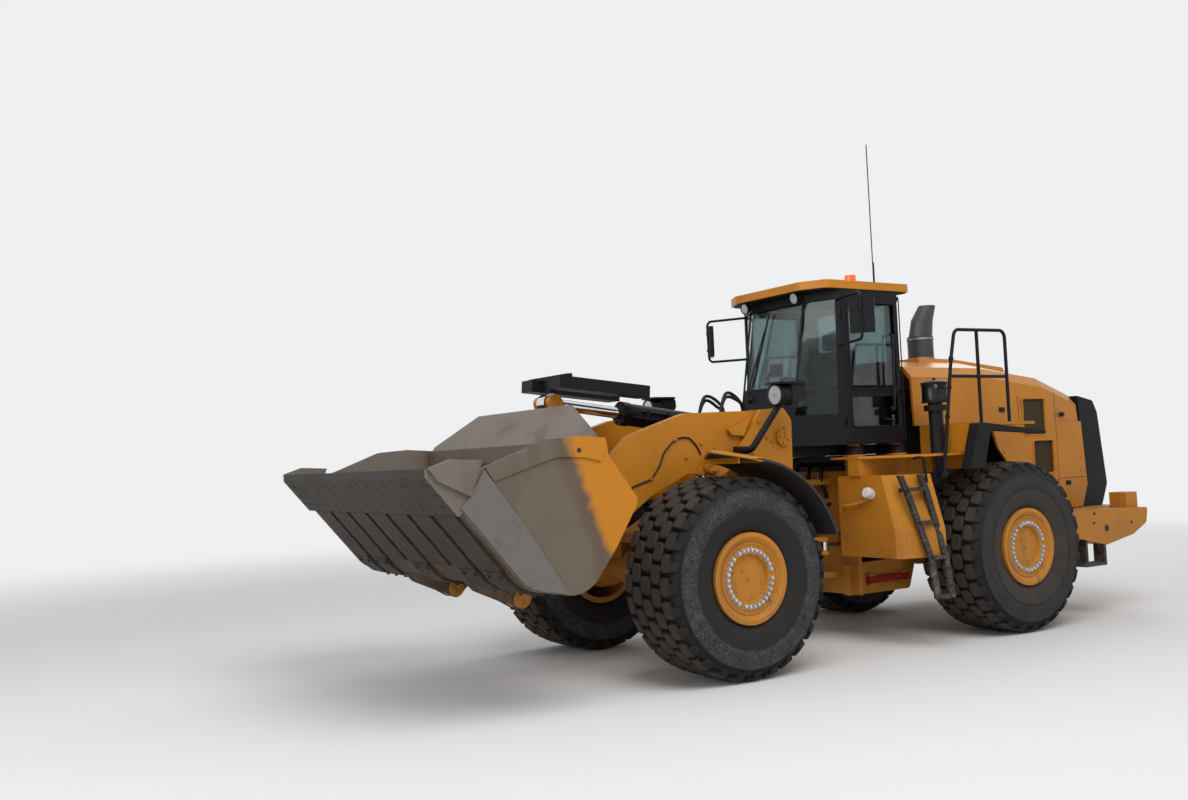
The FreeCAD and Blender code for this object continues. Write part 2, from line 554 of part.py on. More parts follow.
# Cab interior
nodes["seat"] = fuse([box(-820, -320, -250, 250, 2330, 2460), box(-860, -730, -230, 230, 2430, 3120),
                      box(-700, -440, -120, 120, CAB_FLOOR_Z + 50, 2330)])
column_foot = V(-20, 0, CAB_FLOOR_Z + 50)
column_top = V(-190, 0, 2760)
column_axis = (column_top - column_foot).normalize()
column = fuse([bar(column_foot - column_axis * 20, column_top, 45), cylinder(column_top, column_axis, 60, 14),
               turned([(-14, 172), (14, 172), (14, 200), (-14, 200)], column_top, column_axis),
               box(column_top.x - 12, column_top.x + 12, -185, 185, column_top.z - 8, column_top.z + 8)])
console = fuse([box(-820, -260, -690, -330, CAB_FLOOR_Z + 50, 2560),
                box(-260, -160, -600, -420, CAB_FLOOR_Z + 50, 2500)])
nodes["controls"] = Part.makeCompound([column.cut(nodes["cab_body"]), console.cut(nodes["cab_body"])])

# Decks, tanks and ladders beside the cab
deck_plan = [(-90, 560), (-90, 960), (-560, 1420), (-1245, 1420), (-1245, 560)]
deck_plate = flat_plate(deck_plan, DECK_Z - DECK_PLATE, DECK_Z)
TANK_SECTIONS = (
    # z, outer y at the front, outer y at the rear
    (905, 1440, 1560),
    (1175, 1440, 1560),
    (1730, 1290, 1400),
)


def tank_section(z, front_y, rear_y):
    return [V(-118, TANK_INNER_Y, z), V(-118, front_y - 60, z), V(-150, front_y, z), V(-640, rear_y, z),
            V(-640, TANK_INNER_Y, z)]


tank_levels = [tank_section(*row) for row in TANK_SECTIONS]
tank = fuse([loft(tank_levels[:2]), loft(tank_levels[1:])])
deck_beam = box(-1180, -95, 800, 960, 1730, DECK_Z - DECK_PLATE)
nodes["side_tanks"] = both_sides(tank)
cab_mounts = [cylinder(V(x, 660, DECK_Z - 5), Z_AXIS, 70, CAB_FLOOR_Z - DECK_Z + 5) for x in (-330, -960)]
riser = fuse([box(-1270, -1240, 760, 1480, 1760, UPPER_DECK_Z),
              box(-2240, -1240, 760, 1480, UPPER_DECK_Z - 30, UPPER_DECK_Z)])
nodes["side_decks"] = both_sides(fuse([deck_plate, deck_beam, riser] + cab_mounts))
outer_fender = side_plate([(-1020, 1760), (-1190, 2235, 40), (-2260, 2130, 30), (-2260, 2095),
                           (-1370, 2150), (-1240, 1760)],
                          1480, 1600)
nodes["rear_fenders"] = both_sides(outer_fender)


LADDER = (
    # z, front x, rear x, inner y
    (1727, -145, -500, 1405),
    (1567, -182, -528, 1450),
    (1234, -275, -585, 1500),
    (886, -372, -646, 1550),
    (505, -375, -651, 1600),
)


def make_ladder():
    parts = []
    for (z1, front1, rear1, y1), (z0, front0, rear0, y0) in zip(LADDER, LADDER[1:]):
        for x1, x0 in ((front1, front0), (rear1 + 70, rear0 + 70)):
            parts.append(loft([[V(x - dx, y + dy, z) for dx, dy in ((0, 0), (70, 0), (70, 34), (0, 34))]
                               for x, y, z in ((x1, y1, z1), (x0, y0, z0))]))
    for z, front, rear, y in LADDER[1:]:
        parts.append(box(rear + 30, front - 30, y - 8, y + 50, z, z + 34))
    stays = [box(-560, -520, 1370, 1425, 1560, 1600), box(-250, -210, 1370, 1465, 1560, 1600),
             box(-620, -590, 1500, 1560, 930, 970)]
    return fuse(parts + stays).cut(tank)


nodes["ladders"] = Part.makeCompound([both_sides(make_ladder()), rear_steps])

# Handrails beside the hood
RAIL_Y = 1460.0


def make_rails():
    y = RAIL_Y
    front = bent_tube([V(-780, y, 1700), V(-985, y, 2900), V(-1060, y, 3205), V(-1850, y, 3215),
                       V(-1850, y, UPPER_DECK_Z)],
                      HANDRAIL_RADIUS, 80)
    post = bar(V(-1400, y, UPPER_DECK_Z), V(-1400, y, 3205), HANDRAIL_RADIUS)
    middle = bar(V(-955, y, 2720), V(-1850, y, 2720), HANDRAIL_RADIUS)
    foot = box(-830, -740, 1400, y + 10, 1690, 1730)
    brace = box(-830, -740, 1390, 1425, 1690, DECK_Z - 25)
    return fuse([front, post, middle, foot, brace])


nodes["handrails"] = both_sides(make_rails())

# Air cleaner with its clear bowl, on the left deck
CLEANER = V(-1110, 1110, 0)
nodes["precleaner"] = fuse([cylinder(CLEANER + Z_AXIS * 2470, Z_AXIS, 130, 210),
                            cylinder(CLEANER + Z_AXIS * DECK_Z, Z_AXIS, 75, 545),
                            cylinder(CLEANER + Z_AXIS * 2380, Z_AXIS, 120, 60)])


# Mirrors, lamps, beacon and aerials
def make_mirror(side):
    out, reach = MIRROR_POST
    arm = bent_tube([V(-118, side * 735, 3580), V(out + 10, side * reach, 3592), V(out, side * reach, 3112),
                     V(-118, side * 735, 3100)], 14, 60)
    across, through = V(0.57, -0.82 * side, 0) * 125, V(0.82, 0.57 * side, 0) * 27
    middle = V(out - 26, side * (reach - 16), 0)
    corners = [middle + across + through, middle + across - through, middle - across - through,
               middle - across + through]
    head = flat_plate([(c.x, c.y, 20) for c in corners], 3175, 3530)
    return fuse([arm, head]).cut([nodes["cab_body"], nodes["cab_glass"]])


MIRROR_POST = (45.0, 1245.0)
nodes["mirrors"] = Part.makeCompound([make_mirror(1), make_mirror(-1)])
ROOF_Z = CAB_TOP_Z + ROOF_THICKNESS
nodes["beacon"] = fuse([cylinder(V(-1080, 0, ROOF_Z), Z_AXIS, 70, 50),
                        cylinder(V(-1080, 0, ROOF_Z + 50), Z_AXIS, 62, 170)])
ANTENNA_TOP = 5450.0
nodes["antennas"] = Part.makeCompound([
    fuse([cylinder(V(-1110, 330, ROOF_Z), Z_AXIS, 25, 60),
          cylinder(V(-1110, 330, ROOF_Z + 50), Z_AXIS, 6, ANTENNA_TOP - ROOF_Z - 50)]),
    fuse([cylinder(V(-1000, 450, ROOF_Z), Z_AXIS, 22, 40),
          cylinder(V(-1000, 450, ROOF_Z + 30), Z_AXIS, 5, 260)])])


# Front frame: loader tower plates round a central box that stands over the axle.
TOWER_OUTER = (ARM_INNER_Y + ARM_THICKNESS + SIDE_PLAY + 6, ARM_INNER_Y + ARM_THICKNESS + SIDE_PLAY + 6
               + TOWER_PLATE)
TOWER_INNER = (ARM_INNER_Y - SIDE_PLAY - TOWER_PLATE, ARM_INNER_Y - SIDE_PLAY)
tower_outline = [(600, 2330, 60), (700, 2455, 60), (1000, 2440, 60), (1290, 2060, 120), (1250, 1500, 120),
                 (1000, 620, 120),
                 (640, 560, 80), (560, 1100, 120), (330, 1150, 60), (330, 1620, 60), (560, 1800, 120)]
outer_outline = [(600, 2330, 60), (700, 2455, 60), (1000, 2440, 60), (1290, 2060, 120), (1180, 1700, 120),
                 (620, 1620, 100)]
tower_inner = side_plate(tower_outline, *TOWER_INNER)
tower_outer = side_plate(outer_outline, *TOWER_OUTER)
arm_pin = y_cylinder(ARM_PIVOT, PIN_RADIUS + 15, TOWER_INNER[0], TOWER_OUTER[1] + 20)
tower_web = box(620, 680, TOWER_INNER[0], TOWER_OUTER[1], 1640, 1900)
front_outline = [(190, 600, 40), (1300, 600, 80), (FRONT_AXLE_X - 340, PAD_TOP, 80),
                 (FRONT_AXLE_X + 280, PAD_TOP, 40), (FRONT_AXLE_X + 280, 1270, 40),
                 (FRONT_AXLE_X + 50, 1290, 80),
                 (1450, 1540, 100), (1120, 1760, 100), (190, 1760, 40)]
front_box = side_plate(front_outline, -330, 330)
front_hollow = side_plate([(150, 740), (1180, 740, 60), (1270, 1400, 60), (900, 1620, 60), (150, 1620)],
                          -290, 290)
hitch_forks = [flat_plate([(200, -300), (60, -140), (-90, -110, 90), (-90, 110, 90), (60, 140), (200, 300)],
                          z0, z1)
               for z0, z1 in ((HITCH_UPPER[0] - 56, HITCH_UPPER[0] - SIDE_PLAY),
                              (HITCH_UPPER[1] + SIDE_PLAY, HITCH_UPPER[1] + 56),
                              (HITCH_LOWER[0] - 56, HITCH_LOWER[0] - SIDE_PLAY),
                              (HITCH_LOWER[1] + SIDE_PLAY, HITCH_LOWER[1] + 56))]
hitch_bores = cylinder(V(0, 0, 500), Z_AXIS, HITCH_PIN_RADIUS + FIT_PLAY, 1400)
lift_pin = y_cylinder(LIFT_BASE, PIN_RADIUS, 320, TOWER_INNER[0] + 5)
tower_bridge = fuse([box(600, 1120, -330, 330, 1740, 1840), box(600, 690, -330, 330, 1740, 1840)])
tower_wall = box(600, 690, 320, TOWER_INNER[0] + 5, 1300, 1840)
TILT_EAR_Y = (TILT_BARREL_RADIUS + SIDE_PLAY, TILT_BARREL_RADIUS + SIDE_PLAY + 34)
tilt_ears = [side_plate([(640, 1800), (760, 2350, 60), (940, 2350, 60), (1100, 1800)], y0, y1)
             for y0, y1 in ((-TILT_EAR_Y[1], -TILT_EAR_Y[0]), TILT_EAR_Y)]
tilt_pin = y_cylinder(TILT_BASE, PIN_RADIUS, -TILT_EAR_Y[1], TILT_EAR_Y[1])
STEER_EYE = (0.0, 480.0)
STEER_BASE = (-1150.0, 430.0)
STEER_Z = 1010.0
steer_ears = [flat_plate([(330, 300), (330, 560, 40), (-50, 530, 50), (-50, 430, 50), (200, 300)], z0, z1)
              for z0, z1 in ((STEER_Z - 90, STEER_Z - 52), (STEER_Z + 52, STEER_Z + 90))]
shaft_way = cylinder(V(100, 0, SHAFT_Z), X_AXIS, 135, FRONT_AXLE_X - 100)
nodes["front_frame"] = fuse([front_box.cut(front_hollow), tower_bridge, tilt_pin] + tilt_ears
                            + hitch_forks).cut(
    [hitch_bores, shaft_way])
tower = fuse([tower_inner, tower_outer, arm_pin, tower_web, tower_wall, lift_pin]).cut(nodes["front_frame"])
nodes["loader_towers"] = both_sides(tower)
left_ears = [ear.cut(nodes["front_frame"]) for ear in steer_ears]
nodes["steer_ears"] = Part.makeCompound(left_ears + [mirrored(ear) for ear in left_ears])


# Front fenders: a broad yellow lip and a rubber sheet that curves down behind the tyre.
def fender_band(r0, r1, a0, a1, y0, y1):
    centre = V(FRONT_AXLE_X, 0, AXLE_Z)

    def at(radius, angle):
        a = math.radians(angle)
        return V(centre.x + radius * math.cos(a), y0, centre.z + radius * math.sin(a))
    mid = (a0 + a1) / 2
    edges = [Part.Arc(at(r1, a0), at(r1, mid), at(r1, a1)).toShape(),
             Part.LineSegment(at(r1, a1), at(r0, a1)).toShape(),
             Part.Arc(at(r0, a1), at(r0, mid), at(r0, a0)).toShape(),
             Part.LineSegment(at(r0, a0), at(r1, a0)).toShape()]
    return Part.Face(Part.Wire(edges)).extrude(V(0, y1 - y0, 0))


LIP_REAR = FRONT_AXLE_X - 155
LIP_FRONT = FRONT_AXLE_X + 433
lip_outline = [(LIP_REAR, AXLE_Z + 1027), (LIP_FRONT, AXLE_Z + 1115), (LIP_FRONT, AXLE_Z + 1153),
               (LIP_REAR, AXLE_Z + 1061)]
fender = fuse([fender_band(1035, 1060, 95, 162, 840, 1640),
               side_plate(lip_outline, 840, 1640),
               box(1000, 1100, TOWER_OUTER[1], 860, 1500, 1800)])
nodes["front_fenders"] = both_sides(fender)

# Head lamps on slanted arms
lamp_arm = bent_tube([V(1330, 770, 2040), V(1330, 980, 2040), V(1000, 1060, 2500)], 32, 60)
lamp_head = cylinder(V(960, 1070, 2560), X_AXIS, 105, 110)
nodes["head_lamps"] = both_sides(fuse([lamp_arm, lamp_head, box(930, 985, 1020, 1100, 2470, 2560),
                                       box(1210, 1370, TOWER_OUTER[1], 790, 2000, 2080)]))

# Lift arms: two deep curved plates, a cross tube and the bell crank's seat.
arm_outline = [(610, 2150, 120), (700, 2300, 120), (1000, 2432, 100), (1886, 2416, 260), (2529, 2222, 300),
               (3110, 1680, 100),
               (3375, 1262, 120), (3695, 900), (3720, 785), (2950, 1230, 200), (2321, 1653, 200),
               (1886, 1842, 120),
               (1500, 1800, 160), (1100, 2000, 120), (740, 2020, 120)]
arm = side_plate(arm_outline, ARM_INNER_Y, ARM_INNER_Y + ARM_THICKNESS)
arm_bore = y_cylinder(ARM_PIVOT, PIN_RADIUS + 15 + FIT_PLAY, ARM_INNER_Y - 1, ARM_INNER_Y + ARM_THICKNESS + 1)
pin_bore = y_cylinder(BUCKET_PIN, PIN_RADIUS + FIT_PLAY, ARM_INNER_Y - 1, ARM_INNER_Y + ARM_THICKNESS + 1)
eye_stub = y_cylinder(LIFT_EYE, PIN_RADIUS, LIFT_CYLINDER_Y + 55 + SIDE_PLAY, ARM_INNER_Y + 5)
eye_boss = y_cylinder(LIFT_EYE, 85, ARM_INNER_Y + ARM_THICKNESS - 5, ARM_INNER_Y + ARM_THICKNESS + 30)
TUBE_AT = (2240.0, 1815.0)
cross_tube = y_cylinder(TUBE_AT, 112, -ARM_INNER_Y - 5, ARM_INNER_Y + 5)
LEVER_HALF = 150.0
lever_seats = [side_plate([(2260, 1660), (2300, 1900, 60), (2560, 1830, 90), (2740, 1720, 90),
                           (2680, 1590, 90), (2480, 1600)], y0, y1)
               for y0, y1 in ((-LEVER_HALF - 60, -LEVER_HALF - SIDE_PLAY),
                              (LEVER_HALF + SIDE_PLAY, LEVER_HALF + 60))]
lever_pin = y_cylinder(LEVER_PIVOT, PIN_RADIUS, -LEVER_HALF - 60, LEVER_HALF + 60)
tip_boss = y_cylinder(BUCKET_PIN, 80, ARM_INNER_Y, ARM_INNER_Y + ARM_THICKNESS)
half_arm = [arm, eye_stub, eye_boss, tip_boss]
arms = fuse(half_arm + [mirrored(s) for s in half_arm] + [cross_tube, lever_pin] + lever_seats)
nodes["lift_arms"] = arms.cut([arm_bore, mirrored(arm_bore), pin_bore, mirrored(pin_bore)])

# Bell crank: two plates that open upwards as a fork for the tilt cylinder's eye.
LEVER_PLATE = 55.0
fork_plate = side_plate([(LEVER_TOP[0] - 78, LEVER_TOP[1] + 10, 60),
                         (LEVER_TOP[0] - 20, LEVER_TOP[1] + 90, 60),
                         (LEVER_TOP[0] + 95, LEVER_TOP[1] + 40, 60),
                         (LEVER_PIVOT[0] + 190, LEVER_PIVOT[1] + 20, 120),
                         (LEVER_FOOT[0] + 110, LEVER_FOOT[1], 70), (LEVER_FOOT[0], LEVER_FOOT[1] - 105, 70),
                         (LEVER_FOOT[0] - 110, LEVER_FOOT[1], 70),
                         (LEVER_PIVOT[0] - 190, LEVER_PIVOT[1] + 20, 120)],
                        LEVER_HALF - LEVER_PLATE, LEVER_HALF)
lever_hub = y_cylinder(LEVER_PIVOT, 120, -LEVER_HALF, LEVER_HALF)
top_stub = y_cylinder(LEVER_TOP, PIN_RADIUS, 70 + SIDE_PLAY, LEVER_HALF)
foot_pin = y_cylinder(LEVER_FOOT, PIN_RADIUS, -LEVER_HALF, LEVER_HALF)
lever_web = box(LEVER_PIVOT[0] - 60, LEVER_PIVOT[0] + 60, -LEVER_HALF + 5, LEVER_HALF - 5,
                LEVER_PIVOT[1] - 330, LEVER_PIVOT[1])
lever = fuse([fork_plate, mirrored(fork_plate), lever_hub, lever_web, top_stub, mirrored(top_stub), foot_pin])
nodes["bell_crank"] = lever.cut(y_cylinder(LEVER_PIVOT, PIN_RADIUS + FIT_PLAY, -LEVER_HALF - 1, LEVER_HALF
                                           + 1))

# Tilt link between the lever's foot and the bucket
LINK_HALF = LEVER_HALF - LEVER_PLATE - SIDE_PLAY
link_low = [(LEVER_FOOT[0], LEVER_FOOT[1] - 62), (BUCKET_LINK_PIN[0], BUCKET_LINK_PIN[1] - 56),
            (BUCKET_LINK_PIN[0], BUCKET_LINK_PIN[1] + 56), (LEVER_FOOT[0], LEVER_FOOT[1] + 62)]
link = fuse([side_plate(link_low, -LINK_HALF + 10, LINK_HALF - 10),
             y_cylinder(LEVER_FOOT, 88, -LINK_HALF, LINK_HALF),
             y_cylinder(BUCKET_LINK_PIN, 66, -LINK_HALF, LINK_HALF)])
nodes["tilt_link"] = link.cut(y_cylinder(LEVER_FOOT, PIN_RADIUS + FIT_PLAY, -LINK_HALF - 1, LINK_HALF + 1))


# Bucket: a curved shell between two side plates, with ears for the arms and the link.
def rest_plate(points, y0, y1):
    placed = []
    for p in points:
        x, z = level_to_rest(p[0], p[1])
        placed.append((x, z, p[2]) if len(p) > 2 else (x, z))
    return side_plate(placed, y0, y1)


half_width = BUCKET_WIDTH / 2
shell_points = [(1600, -241), (420, -241, 300), (20, 100, 300), (110, 560, 500), (242, 981, 80),
                (700, 1004, 60), (830, 1078)]
inner_points = [(845, 1046), (715, 968, 50), (270, 947, 60), (145, 550, 480), (60, 110, 270),
                (432, -207, 270), (1600, -207)]
bucket_shell = rest_plate(shell_points + inner_points, -half_width + BUCKET_SIDE, half_width - BUCKET_SIDE)
side_points = [(1600, -241), (420, -241, 300), (20, 100, 300), (110, 560, 500), (242, 981, 80),
               (700, 1004, 60), (824, 1082, 20),
               (1002, 897, 60), (1189, 633, 200), (1391, 91, 200), (1530, -140, 60), (1640, -241)]
bucket_side = rest_plate(side_points, half_width - BUCKET_SIDE, half_width)


def guard_plate(points):
    """A plate on the spill guard's slanted plane from (y, level z) points."""
    corners = []
    for y, z in points:
        x, height = level_to_rest(818 + 0.3 * (z - 1078), z)
        corners.append(V(x, y, height))
    face = Part.Face(Part.makePolygon(corners + [corners[0]]))
    ahead = V(*level_to_rest(1, -0.3), 0) - V(*level_to_rest(0, 0), 0)
    return face.extrude(V(ahead.x, 0, ahead.y).normalize() * 30)


spill_guard = guard_plate([(-1586, 1055), (1586, 1055), (1586, 1107), (904, 1434), (-904, 1434),
                           (-1586, 1107)])
EAR_SPANS = ((ARM_INNER_Y - SIDE_PLAY - 45, ARM_INNER_Y - SIDE_PLAY),
             (ARM_INNER_Y + ARM_THICKNESS + SIDE_PLAY, ARM_INNER_Y + ARM_THICKNESS + SIDE_PLAY + 45))
ear_points = [(-85, -60, 60), (60, -110, 60), (300, -225), (560, -236), (100, 60), (60, 330), (-70, 110, 60)]
hinge_ears = [rest_plate(ear_points, y0, y1) for y0, y1 in EAR_SPANS]
hinge_pin = y_cylinder(BUCKET_PIN, PIN_RADIUS, EAR_SPANS[0][0], EAR_SPANS[1][1])
LINK_EAR_SPAN = (LINK_HALF + SIDE_PLAY, LINK_HALF + SIDE_PLAY + 45)
link_ear = rest_plate([(-150, 215, 70), (-70, 150), (60, 60), (60, 420), (-60, 345), (-150, 300, 60)],
                      *LINK_EAR_SPAN)
half_bucket = hinge_ears + [hinge_pin, link_ear, bucket_side]
nodes["bucket"] = fuse([bucket_shell, spill_guard] + half_bucket + [mirrored(s) for s in half_bucket])

# Cutting edge and side cutters
edge_low = rest_plate([(1250, -283), (1640, -283), (1690, -243), (1640, -241.5), (1250, -241.5)],
                      -half_width, half_width)
cutter = rest_plate([(1300, -120), (1440, 130), (1620, -60, 40), (1690, -235), (1560, -241)], half_width
                    + 0.3, half_width + 30)
wear_plates = [rest_plate([(640, -266), (1230, -266), (1230, -241.5), (640, -241.5)], y - 190, y
                          + 190) for y in (-1400, -930, -465, 0, 465, 930, 1400)]
nodes["cutting_edge"] = Part.makeCompound([edge_low, both_sides(cutter)] + wear_plates)

# Lift cylinders
lift_barrel, lift_rod = cylinder_pair(LIFT_BASE, LIFT_EYE, LIFT_CYLINDER_Y, 55, 55, LIFT_BARREL_RADIUS,
                                      LIFT_ROD_RADIUS,
                                      LIFT_GLAND_AT, 130, 800)
nodes["left_lift_barrel"] = lift_barrel
nodes["left_lift_rod"] = lift_rod
nodes["right_lift_barrel"] = mirrored(lift_barrel)
nodes["right_lift_rod"] = mirrored(lift_rod)

# Tilt cylinder with the boxed guards that travel with its rod
tilt_barrel, tilt_rod = cylinder_pair(TILT_BASE, LEVER_TOP, 0, TILT_BARREL_RADIUS, 70, TILT_BARREL_RADIUS,
                                      TILT_ROD_RADIUS,
                                      TILT_GLAND_AT, 550, 10)
nodes["tilt_barrel"] = tilt_barrel
nodes["tilt_rod"] = tilt_rod


def guard_box(side):
    near = LEVER_HALF + 12
    rear_low, front_low = (2063, 2590), (3071, 2690)
    outline = [rear_low, front_low, (front_low[0] - 10, front_low[1] + 115),
               (rear_low[0] - 10, rear_low[1] + 115)]
    solid = side_plate(outline, near, near + 210)
    return solid if side > 0 else mirrored(solid)


guard_bracket = fuse([box(2930, 2985, -372, 372, 2780, 2822), box(2930, 2985, -45, 45, 2600, 2800)])
nodes["rod_guards"] = fuse([guard_box(1), guard_box(-1), guard_bracket]).cut([tilt_rod])


# Steering cylinders, lying flat beside the hitch
def steer_cylinder():
    foot = V(STEER_BASE[0], STEER_BASE[1], STEER_Z)
    eye = V(STEER_EYE[0], STEER_EYE[1], STEER_Z)
    along = (eye - foot).normalize()
    length = (eye - foot).Length
    tail = STEER_GLAND_AT - 70 - 295
    barrel = fuse([cylinder(foot - Z_AXIS * 61, Z_AXIS, 64, 122),
                   cylinder(foot, along, STEER_BARREL_RADIUS, STEER_GLAND_AT)])
    hollow = cylinder(foot + along * (tail - 310), along, 44, STEER_GLAND_AT - 40 - tail + 310)
    mouth = cylinder(foot + along * (STEER_GLAND_AT - 60), along, STEER_ROD_RADIUS + SLIDE_PLAY, 80)
    hole = cylinder(foot - Z_AXIS * 70, Z_AXIS, 32 + FIT_PLAY, 140)
    rod = fuse([cylinder(foot + along * tail, along, STEER_ROD_RADIUS, length - tail),
                cylinder(foot + along * tail, along, 44 - SLIDE_PLAY, 30),
                cylinder(eye - Z_AXIS * 45, Z_AXIS, 55, 90)])
    return barrel.cut([hollow, mouth, hole]), rod


steer_barrel, steer_rod = steer_cylinder()
nodes["left_steer_barrel"] = steer_barrel
nodes["left_steer_rod"] = steer_rod
nodes["right_steer_barrel"] = mirrored(steer_barrel)
nodes["right_steer_rod"] = mirrored(steer_rod)
steer_seat = fuse([box(-1380, -1080, 380, 480, STEER_Z - 104, STEER_Z - 68),
                   box(-1380, -1080, 380, 480, STEER_Z + 68, STEER_Z + 104),
                   box(-1380, -1220, 380, 480, STEER_Z - 104, STEER_Z + 104),
                   cylinder(V(STEER_BASE[0], STEER_BASE[1], STEER_Z - 104), Z_AXIS, 32, 208)])
nodes["rear_frame"] = nodes["rear_frame"].fuse([steer_seat, mirrored(steer_seat)])

# The whole machine is moved so that the origin is the middle of its base.
whole = FreeCAD.BoundBox()
for shape in nodes.values():
    whole.add(shape.optimalBoundingBox())
SHIFT = V(-(whole.XMin + whole.XMax) / 2, -(whole.YMin + whole.YMax) / 2, -whole.ZMin)

os.makedirs("parts", exist_ok=True)
for name, shape in nodes.items():
    shape.translated(SHIFT).exportStep("parts/" + name + ".step")
print("nodes", len(nodes), "shift", SHIFT, "size", whole.XLength, whole.YLength, whole.ZLength)
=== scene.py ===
import bpy
import bmesh
import math
import random
from mathutils import Matrix, Vector


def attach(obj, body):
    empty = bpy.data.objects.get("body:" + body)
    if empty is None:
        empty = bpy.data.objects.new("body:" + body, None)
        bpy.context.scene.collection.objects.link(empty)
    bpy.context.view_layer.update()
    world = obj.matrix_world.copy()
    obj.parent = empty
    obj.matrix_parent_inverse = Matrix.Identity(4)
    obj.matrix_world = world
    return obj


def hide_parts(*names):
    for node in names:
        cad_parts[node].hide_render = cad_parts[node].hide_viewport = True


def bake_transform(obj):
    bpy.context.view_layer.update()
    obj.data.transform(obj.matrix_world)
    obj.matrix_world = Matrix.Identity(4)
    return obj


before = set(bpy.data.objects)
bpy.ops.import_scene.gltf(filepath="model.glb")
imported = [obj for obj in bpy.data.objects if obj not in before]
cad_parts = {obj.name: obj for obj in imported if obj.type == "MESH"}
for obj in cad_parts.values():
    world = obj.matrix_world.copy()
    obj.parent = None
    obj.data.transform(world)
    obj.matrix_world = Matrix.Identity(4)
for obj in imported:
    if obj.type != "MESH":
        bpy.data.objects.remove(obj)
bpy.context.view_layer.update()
scene = bpy.context.scene
dice = random.Random(31)
print("frame loaded:", len(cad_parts), "nodes")

# Places are written in millimetres from the steering hitch, as the loader was laid out.
hitchOffset = 167.73


def spot(x, y, z):
    return Vector(((x - hitchOffset) / 1000, y / 1000, z / 1000))


# ---- camera: stands low at the loader's left front ----
cameraSetup = {
    "place": (8440.2, 9463.9, 1981.6),
    "heading": -2.1336,
    "tilt": 0.0547,
    "roll": -0.0421,
    "lens": 34.71,
}


def makeCamera(setup):
    heading, tilt, roll = setup["heading"], setup["tilt"], setup["roll"]
    ahead = Vector((math.cos(heading) * math.cos(tilt), math.sin(heading) * math.cos(tilt), math.sin(tilt)))
    right = ahead.cross(Vector((0, 0, 1))).normalized()
    up = right.cross(ahead)
    rightRolled = right * math.cos(roll) + up * math.sin(roll)
    upRolled = up * math.cos(roll) - right * math.sin(roll)
    camera = bpy.data.objects.new("camera", bpy.data.cameras.new("camera"))
    camera.data.lens = setup["lens"]
    camera.data.sensor_width = 36
    camera.data.sensor_fit = "HORIZONTAL"
    camera.data.clip_end = 400
    turn = Matrix((rightRolled, upRolled, -ahead)).transposed().to_4x4()
    camera.matrix_world = Matrix.Translation(spot(*setup["place"])) @ turn
    scene.collection.objects.link(camera)
    scene.camera = camera


makeCamera(cameraSetup)
print("camera set")


# ---- shader sums: a value that can stand in an ordinary expression ----
class Signal:
    def __init__(self, maker, socket):
        self.maker = maker
        self.socket = socket

    def combined(self, operation, other, swapped=False):
        pair = (other, self) if swapped else (self, other)
        return self.maker.node("ShaderNodeMath", {"operation": operation}, {0: pair[0], 1: pair[1]})

    def __add__(self, other):
        return self.combined("ADD", other)

    def __radd__(self, other):
        return self.combined("ADD", other, True)

    def __sub__(self, other):
        return self.combined("SUBTRACT", other)

    def __rsub__(self, other):
        return self.combined("SUBTRACT", other, True)

    def __mul__(self, other):
        return self.combined("MULTIPLY", other)

    def __rmul__(self, other):
        return self.combined("MULTIPLY", other, True)

    def __truediv__(self, other):
        return self.combined("DIVIDE", other)

    def __rtruediv__(self, other):
        return self.combined("DIVIDE", other, True)

    def __pow__(self, other):
        return self.combined("POWER", other)

    def __neg__(self):
        return self.combined("MULTIPLY", -1.0)

    def __abs__(self):
        return self.maker.node("ShaderNodeMath", {"operation": "ABSOLUTE"}, {0: self})

    def limited(self):
        return self.maker.node("ShaderNodeClamp", {}, {"Value": self})

    def ramped(self, low, high):
        # 0 below low and 1 above high, with a soft change between
        return self.maker.node("ShaderNodeMapRange", {"interpolation_type": "SMOOTHSTEP"},
                               {"Value": self, "From Min": low, "From Max": high})


